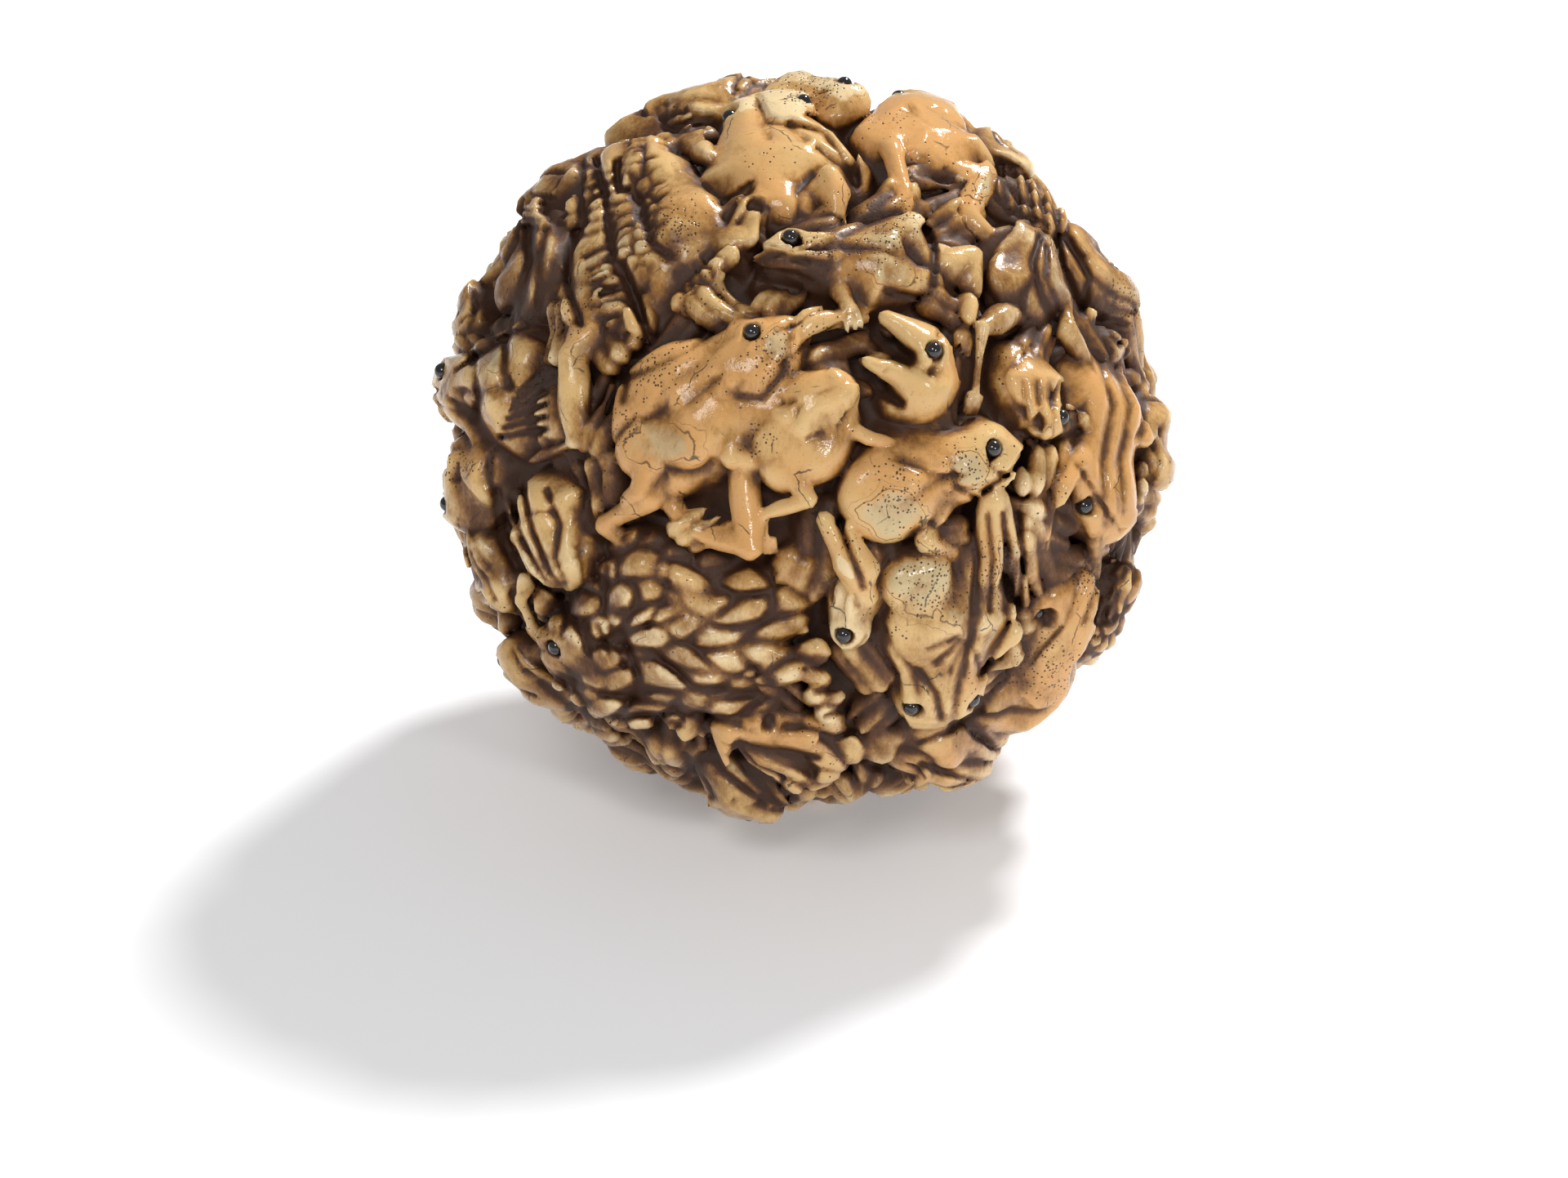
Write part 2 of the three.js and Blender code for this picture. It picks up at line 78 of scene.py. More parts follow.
# The creatures: frogs and toads that crowd over the ball, carved in high relief with their backs on one
# common sphere. Each follows a spine from vent to snout, given in millimetres right of and above the
# middle of the ball as the front shows it, and roll leans its back over to its own left, in degrees.
FRONT_TILT = math.radians(24)
FRONT_WAY = np.array((0, -math.cos(FRONT_TILT), math.sin(FRONT_TILT)))
TOP_WAY = np.array((0, math.sin(FRONT_TILT), math.cos(FRONT_TILT)))
RIGHT_WAY = np.array((1.0, 0, 0))
END_RISE = 0.62
TOAD_WIDTH = 1.12
THICKEST = 0.34


def creature(name, spine=None, roll=0.0, girth=1.0, side=1, toad=False, sink=0.0, limbs=(), skin="smooth",
             eyes=(), bars=(), arc=None, swells=(), mouth=0.24, tone=(0.2, 0.4)):
    return dict(name=name, spine=spine, roll=math.radians(roll), girth=girth, side=side, toad=toad,
                sink=sink, limbs=limbs, skin=skin, eyes=eyes, bars=bars, arc=arc, swells=swells,
                mouth=mouth, tone=tone)


def hind(*places, toes=3):
    return dict(kind="hind", places=places, toes=toes)


def fore(*places, toes=3):
    return dict(kind="fore", places=places, toes=toes)


FRONT = [
    creature("leaping", [(-12.8, 0), (-7.9, 3.4), (0.2, 9.3)], 68, 0.97, tone=(-0.28, 1.05),
             eyes=("right",),
             limbs=(hind((-11.3, -3.4), (-14.6, -5.7), (-12.4, -7.9)),
                    fore((-5.1, -0.6), (-2.3, -1.4), toes=4), fore((0.5, 9), (2.9, 9.8)),
                    fore((-3.9, -7.3), (-8.2, -6.1), (-10.2, -3.8))),
             bars=((-11.6, 4.2, 3.6, 1.3, -8.6, 5.6, 3.8, 1.3),
                   (-8.6, 5.6, 3.8, 1.3, -4.6, 8.3, 3.6, 1.2)),
             swells=((-9.4, 2.2, 5.2, 0.1), (-5.4, 4.4, 4.4, 0.2), (-3.2, 6.4, 3.2, 0.4))),
    creature("calling", [(-2, -1.2), (-0.2, 1.2), (1.8, 3.4), (4.2, 4.6)], -60, 1.25, tone=(-0.25, 0.8),
             eyes=("left",), mouth=0,
             limbs=(hind((0.4, -3.8), (-2.9, -5), (-2.6, -6.9)), fore((4.8, 0.7), (7.3, 0.2))),
             bars=((8.9, 7.6, 3.8, 1.2, 6.0, 9.3, 3.9, 0.6), (8.6, 4.7, 3.6, 1.3, 4.7, 6.0, 3.9, 0.6)),
             swells=((0.1, 1.6, 3.9, 0.2), (-0.8, -0.6, 2.8, 0.7), (9.1, 7.3, 2.1, 0.1),
                     (9.4, 5.4, 2.2, 0.1), (8.6, 3.9, 2.3, 0.3))),
    creature("resting", [(3.5, -6.2), (7.7, -2.5), (16.2, 0.3)], 60, 0.94, tone=(-0.22, 0.65),
             eyes=("right",),
             limbs=(fore((9, -6.7), (11.1, -7.7), toes=3),),
             bars=((1.6, -5.2, 3.8, 0.5, 3.4, -8.2, 4.2, 1.1),
                   (3.4, -8.2, 4.2, 1.1, 4.8, -10.9, 3.8, 0.7), (2.9, -6, 3.8, 0.6, 4.6, -8.8, 4, 0.9)),
             swells=((6.4, -3.4, 3.6, 0.3), (11.6, -0.8, 2.4, 0.4), (13.6, 0.6, 1.9, 0.5))),
    creature("backward", [(10.2, 12), (5.9, 14), (-4.1, 13.5)], -65, 0.86, tone=(0.15, 0.45),
             eyes=("left",),
             limbs=(hind((12.4, 13.8), (12.1, 8.6)), fore((3.4, 10.2))),
             swells=((7.4, 15.6, 2.2, 0.2), (6.4, 13.4, 2.6, 0.2), (10.0, 13.2, 2.2, 0.8),
                     (-1.2, 13.6, 2.6, 1.3))),
    creature("smooth", [(-0.8, 17.5), (-1.4, 20.8), (-2.8, 26)], 5, 1.1, tone=(-0.35, 0.85),
             eyes=("left", "right"),
             limbs=(hind((2, 19.6), (2.6, 17.4)),),
             swells=((-2.3, 21.3, 4.1, 0.2), (-1.6, 18.9, 3, 0.7), (1.4, 21.2, 2.6, 0.8))),
    creature("crowned", [(10.1, 19.9), (9.5, 22.9), (9.8, 26.5)], 0, 1.1, tone=(-0.3, 0.95),
             eyes=("left",),
             limbs=(hind((13.6, 20.2), (12.3, 17.4), (15.6, 15.1)), fore((6.7, 21.9), (7.8, 18.7))),
             swells=((9.4, 22.8, 3.8, 0.2), (11.8, 22, 2.3, 0.5))),
    creature("ridged", [(-12, 7.7), (-12.8, 14.9), (-13.4, 22.5)], 8, 0.92, tone=(0.0, 0.5), toad=True,
             skin="ridged",
             limbs=(hind((-16.7, 6.6), (-16.9, 0.3), (-21, -1.1)),
                    fore((-5.1, 14.1), (-8.9, 10.7), (-5.3, 8.4))),
             swells=((-10.2, 17.0, 3.4, 0.3), (-16.4, 13.6, 2.4, 0.4), (-15.6, 10.6, 2.6, 0.2),
                     (-13.2, 9.4, 2.4, 0.5), (-16.6, 17.2, 1.7, 0.6))),
    creature("flank_left", [(-17.4, 7.4), (-22, 5.7), (-26.7, 4.7)], -55, 1, tone=(0.2, 0.35),
             eyes=("left",),
             limbs=(fore((-24.6, 2.9), (-24.1, 0.2)),),
             swells=((-21.4, 6.6, 2.8, 0.4), (-18.8, 2.8, 2.4, 1.0))),
    creature("shelled", [(-22.4, 8.6), (-20.8, 13.1), (-19.8, 17.8)], 15, 1.1, tone=(0.5, 0.3), toad=True,
             swells=((-21.6, 12.6, 3.0, 0.6),)),
    creature("hollow_eyed", [(-16.2, 17.8), (-17.5, 19.5), (-20.4, 18.7)], 0, 1.3, tone=(0.4, 0.3),
             eyes=("left", "right")),
    creature("rim_left", [(-25.9, 7.4), (-25.3, 9.6), (-24.2, 12.5)], 0, 1.2, tone=(0.45, 0.3)),
    creature("blind", [(-6.8, 13.4), (-5.3, 15.4), (-3.4, 18.6)], 10, 1.1, tone=(0.2, 0.1),
             eyes=("right",), sink=0.6),
    creature("clasping", [(-12, 22.9), (-10, 25.1), (-5.6, 25.5)], -10, 1.3, tone=(0.25, 0.5),
             eyes=("left",),
             limbs=(fore((-6.8, 21.4), (-8.2, 23.8)),)),
    creature("netted_top", [(-1.3, 26.3), (-4.3, 26.7), (-7.9, 26.3)], 0, 1.4, tone=(0.4, 0.2), toad=True,
             skin="netted"),
    creature("summit", [(-4, 26.9), (0.5, 26.3), (5.1, 25.1)], -30, 0.95, tone=(0.2, 0.4), eyes=("left",)),
    creature("pleated", [(14, 21.3), (16.3, 18.7), (19, 15.4)], 0, 1.3, tone=(0.35, 0.5), skin="pleated",
             swells=((16.8, 18.2, 2.8, 0.4),)),
    creature("rim_high", [(11.3, 23.8), (14, 22.3), (17.1, 19.9)], 0, 1.2, tone=(0.25, 0.6)),
    creature("domed", [(17.8, 9), (17.2, 12.2), (17.1, 16.2)], 5, 1.3, tone=(0.4, 0.2),
             limbs=(hind((13.1, 8.7), (12.8, 3.8)),),
             swells=((16.4, 13.2, 3.8, 0.6), (19.0, 12.6, 2.4, 0.6))),
    creature("flank_right", [(19, 17.8), (21.7, 13.8), (24.8, 10.1)], 20, 0.95, tone=(0.35, 0.4),
             eyes=("left",),
             limbs=(hind((19.6, 8.6), (22, 5.4)),),
             swells=((22.4, 13.6, 3.0, 0.6), (24.4, 9.0, 2.2, 1.0))),
    creature("facing", [(16.8, 7.1), (17.1, 4.1), (17.7, 0.4)], 0, 1.15, tone=(0.0, 0.5),
             eyes=("left", "right"),
             limbs=(fore((20.7, 2.6), (21.1, 0.2)),),
             swells=((17.6, 3.2, 2.5, 0.6), (16.4, 6.6, 2.2, 1.4))),
    creature("long", [(24.3, 7.4), (22.8, 0.2), (22.2, -7.6)], -15, 0.9, tone=(-0.25, 1.1),
             eyes=("right",),
             limbs=(fore((18.9, -2.8), (18.2, -6.4)),),
             swells=((22.4, 2.6, 3.0, 0.6), (21.8, -2.4, 2.6, 0.5))),
    creature("slim", [(25.7, 3.8), (26.6, 0.5), (26, -3.2)], 0, 1, tone=(0.3, 0.6), eyes=("left",)),
    creature("rearing", [(12.8, -20.8), (16.8, -19.2), (19, -15.1), (21.2, -9)], 45, 0.75,
             tone=(-0.15, 0.9), eyes=("left",),
             swells=((15.4, -19.6, 2.8, 0.7), (19.2, -12.2, 2.5, 1.3))),
    creature("netted_low", [(20.5, -16.9), (22.8, -13.3), (24.3, -8.5)], 0, 1, tone=(0.35, 0.5), toad=True,
             skin="netted",
             limbs=(fore((21.7, -7), (24.1, -8.8), toes=3),),
             swells=((22.4, -12.4, 3.2, 1.0),)),
    creature("diving", [(11.6, -7.6), (11, -13.9), (9.2, -20.9)], 0, 0.95, tone=(0.02, 0.5),
             eyes=("left", "right"),
             limbs=(fore((15.4, -13.6), (16, -15.8), (14.3, -16.8)), hind((13.7, -3.7), (16, -7.9))),
             swells=((8.6, -10.2, 3.0, 0.4), (13.4, -9.0, 2.4, 0.6), (9.6, -18.4, 2.5, 0.6))),
    creature("hiding", [(5.3, -8.5), (4.2, -10.9), (3.1, -14.7)], 35, 0.8, tone=(0.0, 0.1),
             eyes=("right",), sink=0.5),
    creature("warty", [(-0.8, -12), (-8.8, -15.1), (-18.9, -17)], 10, 0.95, tone=(0.38, 0.25),
             eyes=("right",), toad=True, skin="warty",
             limbs=(hind((0.5, -14.5), (1.6, -18.8), (2.9, -22.3)),),
             swells=((-11.8, -10.9, 2.7, 0.3), (-8.0, -14.6, 4.2, 0.5), (-15.5, -16.6, 2.8, 0.7),
                     (-3.6, -12.9, 3.7, 0.7))),
    creature("grooved", [(3.8, -25.4), (0.2, -23.5), (-6.7, -20.2)], -25, 1, tone=(-0.2, 0.9),
             eyes=("right",), skin="pleated",
             limbs=(fore((1.7, -20.5), (3.2, -22), toes=3),),
             swells=((-1.4, -23, 3.4, 0.5),)),
    creature("mouthed", [(4.8, -23.8), (9.5, -23), (14.4, -23.1)], 30, 1.1, tone=(0.0, 0.6),
             skin="pleated",
             swells=((11, -23, 2.7, 0.5), (6.4, -22.6, 2.2, 0.9))),
    creature("under_front", [(-8.6, -24.4), (-5.5, -25.6), (-1.2, -27)], 20, 1.2, tone=(0.3, 0.4),
             eyes=("right",)),
    creature("rim_low_left", [(-17.5, -20.4), (-19.9, -17.6), (-21.9, -14.2)], -15, 1.1, tone=(0.3, 0.5),
             eyes=("left",)),
    creature("folded", [(-20.8, -2.5), (-19.2, -6.1), (-16.6, -10.5)], 5, 1.45, tone=(-0.12, 0.35),
             limbs=(fore((-21, -11.2), (-20.5, -13.9)),),
             swells=((-19.2, -5.2, 3.2, 0.3), (-17.8, -8, 2.6, 0.4))),
    creature("peering", [(-23.5, 0.2), (-24.6, -2.5), (-25.1, -6.2)], 30, 1.2, tone=(0.25, 0.6),
             eyes=("right",),
             swells=((-24.2, -1.6, 2.4, 0.6),)),
    creature("lower_left", [(-22.2, -13), (-23.6, -9.4), (-24.5, -5.8)], 30, 1.2, tone=(0.2, 0.4),
             swells=((-23.2, -10, 2.8, 0.6),)),
]

CROUCHING = (
    dict(kind="hind", at=((0.44, 0.38, 0), (0.13, 0.45, -0.03), (0.36, 0.5, -0.05)), toes=3),
    dict(kind="fore", at=((0.63, 0.33, -0.02), (0.8, 0.36, -0.03)), toes=3),
)


def hidden(name, middle, heading, length, bend=0, **more):
    """A creature of the other side, by its middle, the way its snout points, its length and its bend."""
    more.setdefault("tone", (0.15, 0.3 + 0.7 * (length % 1.5)))
    more.setdefault("limbs", CROUCHING)
    return creature(name, side=-1, arc=(middle, math.radians(heading), length, math.radians(bend)), **more)


BACK = [
    hidden("foot", (0, -24.9), 5, 17, girth=1.1, toad=True, limbs=()),
    hidden("back_leaping", (0, 2.5), 25, 17, 20, roll=65, girth=1.1, eyes=("right",)),
    hidden("back_toad", (-11.5, 8), 105, 18.5, -10, roll=8, girth=1.1, eyes=("left", "right"), toad=True,
           skin="warty"),
    hidden("back_smooth", (10.5, 10.5), -65, 16.5, roll=-8, girth=1.15, eyes=("left", "right")),
    hidden("back_resting", (-8, -7.5), 200, 16.5, 25, roll=-60, girth=1.1, eyes=("left",)),
    hidden("back_folded", (9.5, -7.5), 82, 16, -15, roll=5, girth=1.2, eyes=("right",), skin="pleated"),
    hidden("back_warty", (1, -16.5), 165, 18, 10, girth=1.15, toad=True, skin="warty"),
    hidden("back_climbing", (-18.5, -3), 72, 16, 20, roll=25, girth=1.1, eyes=("left",)),
    hidden("back_turning", (19.5, 1), -82, 16, 35, roll=30, girth=1.05),
    hidden("back_crossing", (0.5, 15.5), 8, 16.5, -20, roll=-55, girth=1.1, eyes=("left",)),
    hidden("back_high_left", (-11, 19.5), 150, 15.5, girth=1.15, skin="pleated"),
    hidden("back_high_right", (12, 20), 35, 15.5, 10, roll=10, girth=1.15),
    hidden("back_rim_left", (-21.5, 11), 250, 14.5, girth=1.15),
    hidden("back_low_right", (18.5, -13), 55, 16, -20, roll=15, girth=1.1, skin="pleated"),
    hidden("back_low_left", (-14.5, -17), -40, 16, 15, roll=-20, girth=1.1, eyes=("right",)),
    hidden("back_top", (1, 24.5), 185, 14.5, girth=1.1),
]


def unit(v):
    return v / np.linalg.norm(v, axis=-1, keepdims=True)


def place_on(spot, side=1, height=RELIEF_HEIGHT):
    """A place over the ball's ground, from its place in the view of the front or the back."""
    off = min(1, 0.995 * OUTER_RADIUS / max(1e-9, math.hypot(*spot)))
    x, y = off * spot[0], off * spot[1]
    depth = math.sqrt(OUTER_RADIUS**2 - x * x - y * y)
    on = side * x * RIGHT_WAY + y * TOP_WAY + side * depth * FRONT_WAY
    return unit(on) * (GROUND_RADIUS + height)


def arc_points(arc, side):
    """Three points of a spine that is given by its middle."""
    spot, heading, length, bend = arc
    middle = place_on(spot, side)
    out = unit(middle)
    across = unit(side * RIGHT_WAY - out * (side * RIGHT_WAY @ out))
    up = np.cross(out, across)
    reach = math.tan(length / 2 / OUTER_RADIUS) * OUTER_RADIUS
    ends = [middle + sign * reach * (across * math.cos(way) + up * math.sin(way))
            for sign, way in ((-1, heading - bend), (1, heading + bend))]
    return [unit(ends[0]) * OUTER_RADIUS, middle, unit(ends[1]) * OUTER_RADIUS]


def smooth_curve(points, steps=24):
    """A curve through points whose pieces join smoothly, slower where the points are close."""
    p = [2 * points[0] - points[1], *points, 2 * points[-1] - points[-2]]
    t = np.linspace(0, 1, steps, endpoint=False)[:, None]
    curve = []
    for p0, p1, p2, p3 in zip(p, p[1:], p[2:], p[3:]):
        d0, d1, d2 = (math.sqrt(np.linalg.norm(b - a)) for a, b in ((p0, p1), (p1, p2), (p2, p3)))
        m1 = ((p1 - p0) / d0 - (p2 - p0) / (d0 + d1) + (p2 - p1) / d1) * d1
        m2 = ((p2 - p1) / d1 - (p3 - p1) / (d1 + d2) + (p3 - p2) / d2) * d1
        curve.append((2 * t**3 - 3 * t**2 + 1) * p1 + (t**3 - 2 * t**2 + t) * m1
                     + (-2 * t**3 + 3 * t**2) * p2 + (t**3 - t**2) * m2)
    return np.concatenate([*curve, [points[-1]]])


OUTLINE_AT = (0, 0.03, 0.08, 0.13, 0.22, 0.34, 0.48, 0.59, 0.68, 0.77, 0.84, 0.9, 0.95, 0.985, 1)
OUTLINE_WIDE = (0, 0.09, 0.165, 0.215, 0.275, 0.31, 0.285, 0.24, 0.21, 0.185, 0.15, 0.115, 0.085, 0.05, 0)
OUTLINE_DEEP = (0, 0.08, 0.14, 0.185, 0.24, 0.27, 0.25, 0.22, 0.185, 0.155, 0.125, 0.095, 0.07, 0.04, 0)
SPINE_STEPS = 49
ROOT_DEPTH = 0.8
WIDER, DEEPER = 1.22, 1.1


def ramp(value, low, high):
    t = np.clip((value - low) / (high - low), 0, 1)
    return t * t * (3 - 2 * t)


def rounded(values):
    """The body's outline without corners, sampled evenly along the spine."""
    fine = np.interp(np.linspace(0, 1, 201), OUTLINE_AT, values)
    for width in (9, 9):
        inner = np.convolve(fine, np.ones(width) / width, "valid")
        fine[width // 2:-(width // 2)] = inner
    return np.interp(np.linspace(0, 1, SPINE_STEPS), np.linspace(0, 1, 201), fine)


class Spine:
    """A creature's spine, with its body's own directions along it."""

    def __init__(self, c):
        if c["arc"]:
            points = arc_points(c["arc"], c["side"])
        else:
            points = [place_on(p, c["side"]) for p in c["spine"]]
        curve = smooth_curve(points)
        run = np.concatenate([[0], np.cumsum(np.linalg.norm(np.diff(curve, axis=0), axis=1))])
        self.length = run[-1]
        self.at = np.linspace(0, 1, SPINE_STEPS)
        top = np.stack([np.interp(self.at * run[-1], run, curve[:, i]) for i in range(3)], 1)
        out = unit(top)
        along = np.gradient(top, axis=0)
        along = unit(along - out * (along * out).sum(1, keepdims=True))
        left = np.cross(out, along)
        turn, lean = math.cos(c["roll"]), math.sin(c["roll"])
        self.back = out * turn + left * lean
        self.left = left * turn - out * lean
        self.along = along
        self.girth = c["girth"]
        self.breadth = c["girth"] * (TOAD_WIDTH if c["toad"] else 1)
        thick = c["girth"] * math.hypot(0.285 * turn, 0.355 * lean)
        slope = np.minimum(1, 2 * np.abs(self.at - THICKEST))
        self.radius = OUTER_RADIUS - c["sink"] - thick * self.length * (1 - END_RISE * slope**2)
        self.middle = out * self.radius[:, None]
        self.wide = rounded(OUTLINE_WIDE) * self.length * self.breadth * WIDER
        self.deep = rounded(OUTLINE_DEEP) * self.length * self.girth * DEEPER

    def follow(self, values, at):
        return np.stack([np.interp(at, self.at, values[:, i]) for i in range(3)], -1)

    def point(self, at, wide=0.0, deep=0.0):
        """A point of the body, by its place along the spine and its offsets as shares of the length."""
        return (self.follow(self.middle, at)
                + wide * self.length * self.breadth * self.follow(self.left, at)
                + deep * self.length * self.girth * self.follow(self.back, at))

    def straighten(self, points):
        """Where points lie along the spine, and how far left of, behind and beyond it, in millimetres."""
        apart = (self.middle**2).sum(1)[None] - 2 * points @ self.middle.T.astype(np.float32)
        near = np.argmin(apart, axis=1)
        step = np.gradient(self.middle, axis=0)
        ahead = ((points - self.middle[near]) * step[near]).sum(1) / (step[near] ** 2).sum(1)
        at = np.clip((near + np.clip(ahead, -1, 1)) / (SPINE_STEPS - 1), 0, 1)
        off = points - self.follow(self.middle, at)
        sunk = np.maximum(np.interp(at, self.at, self.radius) - np.linalg.norm(points, axis=1), 0)
        off += ROOT_DEPTH * sunk[:, None] * unit(self.follow(self.middle, at))
        left = (off * self.follow(self.left, at)).sum(1)
        back = (off * self.follow(self.back, at)).sum(1)
        beyond = (off * self.follow(self.along, at)).sum(1)
        return at, left, back, beyond


def blend(a, b, soft):
    """The nearer of two surfaces, with the corner between them filled over this width."""
    rest = np.maximum(soft - np.abs(a - b), 0) / soft
    return np.minimum(a, b) - rest * rest * soft / 4


def cell_noise(u, v, seed):
    """Distances to the nearest and second nearest of points scattered one in each square of a plane."""
    rng = np.random.default_rng(seed)
    jitter = rng.uniform(0.15, 0.85, (64, 64, 2)).astype(np.float32)
    iu, iv = np.floor(u).astype(int), np.floor(v).astype(int)
    first = np.full(len(u), 9, np.float32)
    second = first.copy()
    for du in (-1, 0, 1):
        for dv in (-1, 0, 1):
            spot = jitter[(iu + du) % 64, (iv + dv) % 64]
            d = np.hypot(u - iu - du - spot[:, 0], v - iv - dv - spot[:, 1])
            second = np.minimum(second, np.maximum(first, d))
            first = np.minimum(first, d)
    return first, second


def skin_relief(c, at, left, angle, around, length, seed):
    """How far the skin's own relief cuts in, from where it is along and around the body."""
    if c["skin"] == "pleated":
        wander = 0.22 * np.sin(7 * at + seed) + 0.12 * np.sin(3 * angle + 5 * at + 2 * seed)
        valley = 1 - np.abs(np.cos(5.4 * (angle + wander)))
        deep = 0.6 + 0.3 * np.sin(5 * angle + 4 * at + seed)
        return deep * valley**1.8 * ramp(at, 0.02, 0.2) * (1 - ramp(at, 0.78, 0.97))
    size = 1.5 if c["skin"] == "ridged" else 2
    if c["skin"] in ("ridged", "netted"):
        u = at * length / size + 0.2 * np.sin(2.1 * angle + 9 * at)
        v = angle * np.maximum(around, 2) / size
        first, second = cell_noise(u, v, seed)
        gap = 1 - ramp(second - first, 0.06, 0.4)
        if c["skin"] == "netted":
            return 0.35 * gap
        uneven = 0.8 + 0.3 * np.sin(2.3 * u + seed) * np.sin(1.9 * v)
        rows = ramp(np.sin(5.1 * angle + 4 * at + 1), -0.6, 0.3)
        valley = 1 - np.abs(np.cos(3.1 * (angle + 0.2 * np.sin(8 * at + seed))))
        knobs = uneven * rows * (0.35 * gap + 0.25 * np.clip(first, 0, 1) ** 2)
        return 0.3 * valley**2 * ramp(at, 0.02, 0.2) + knobs
    wander = 0.3 * np.sin(6 * at + seed) + 0.5 * at
    valley = 1 - np.abs(np.cos(2.6 * (angle + wander)))
    folds = ramp(np.sin(7 * at + 1.7 * seed + np.sign(left)), -0.2, 0.7)
    edge = np.exp(-(((np.abs(angle) - 0.9) / 0.13) ** 2)) * ramp(at, 0.1, 0.25)
    under = np.exp(-(((np.abs(angle) - 1.16) / 0.1) ** 2)) * ramp(at, 0.1, 0.25)
    return 0.6 * folds * valley**3 - 0.25 * edge + 0.28 * under


def chisel(points, seed):
    """The low flat planes that the chisel leaves: waves with straight sides, of 3 to 6 mm."""
    rng = np.random.default_rng(seed)
    total = np.zeros(len(points), np.float32)
    for _ in range(4):
        way = unit(rng.normal(size=3)) * 2 * math.pi / rng.uniform(3, 6)
        total += np.arcsin(np.sin(points @ way.astype(np.float32) + np.float32(rng.uniform(0, 6))))
    return 0.085 * total


EAR_AT = 0.665


def torso(c, spine, points, seed):
    """A body's distance field, and how far its skin's relief cuts into it."""
    at, left, back, beyond = spine.straighten(points)
    wide = np.maximum(np.interp(at, spine.at, spine.wide), 0.05)
    deep = np.maximum(np.interp(at, spine.at, spine.deep), 0.05)
    square_off = 2.3 + 0.4 * ramp(at, 0.6, 0.8)
    reach = (np.abs(left / wide) ** square_off + np.abs(back / deep) ** square_off) ** (1 / square_off)
    radius = np.hypot(left, back)
    around = radius / np.maximum(reach, 1e-3)
    angle = np.arctan2(left / wide, back / deep)
    d = radius - around
    ends = (at <= 0) | (at >= 1)
    d = np.where(ends, np.sqrt(np.maximum(d, 0) ** 2 + beyond**2) + np.minimum(d, 0), d)
    relief = skin_relief(c, at, left, angle, around, spine.length, seed)
    if c["skin"] == "warty":
        u, v = 10 * np.log(36 + points @ RIGHT_WAY), points @ TOP_WAY / 1.9 + 5
        first, second = cell_noise(u + 0.5 * at + 0.25 * np.sin(2.1 * v), v + 0.3 * np.sin(1.7 * u), seed)
        gap = 1 - ramp(second - first, 0.03, 0.5)
        uneven = 0.8 + 0.3 * np.sin(2.3 * u) * np.sin(1.9 * v)
        relief = uneven * (0.55 * gap + 0.9 * np.clip(first, 0, 1) ** 2) - 0.3
    head = ramp(at, 0.66, 0.72)
    lip = back + 0.012 * spine.length
    relief = relief + c["mouth"] * head * np.exp(-((lip / 0.24) ** 2))
    ear_radius = 0.045 * spine.length
    ear = np.hypot((at - EAR_AT) * spine.length, back - ear_radius)
    on_side = np.abs(left) > 0.3 * wide
    relief = relief + 0.14 * np.exp(-(((ear - ear_radius) / 0.17) ** 2)) * on_side
    return d.astype(np.float32), relief.astype(np.float32)


KEEL = 1.6


def cone(field, points, start, end, radius_start, radius_end, soft):
    """Adds a straight bar to the field, with a soft keel along its top and ends of two sizes."""
    way = end - start
    long = np.linalg.norm(way)
    near = np.linalg.norm(points - (start + end) / 2, axis=1) < long / 2 + max(radius_start, radius_end) + 1
    off = points[near] - start.astype(np.float32)
    t = np.clip(off @ (way / long**2), 0, 1)
    off = off - t[:, None] * way
    out = unit(start + end)
    beside = np.cross(way / long, out)
    side_off = np.abs(off @ beside)
    rest_off = np.sqrt(np.maximum((off**2).sum(1) - side_off**2, 0))
    across = (side_off**KEEL + rest_off**KEEL) ** (1 / KEEL)
    muscle = 0.08 * radius_start * np.sin(math.pi * np.clip(1.3 * t, 0, 1))
    d = across - (radius_start + (radius_end - radius_start) * t + muscle)
    field[near] = blend(field[near], d.astype(np.float32), soft)


LIMB_RADII = {"hind": (0.1, 0.07, 0.052, 0.04), "fore": (0.08, 0.056, 0.044, 0.036)}
LIMB_ROOTS = {"hind": (0.14, 0.13, -0.02), "fore": (0.57, 0.17, -0.04)}
LIMB_HEIGHTS = {"hind": (3.9, 3.4, 2.8), "fore": (3.8, 3.2, 2.7)}
TOE_SPREAD = math.radians(19)


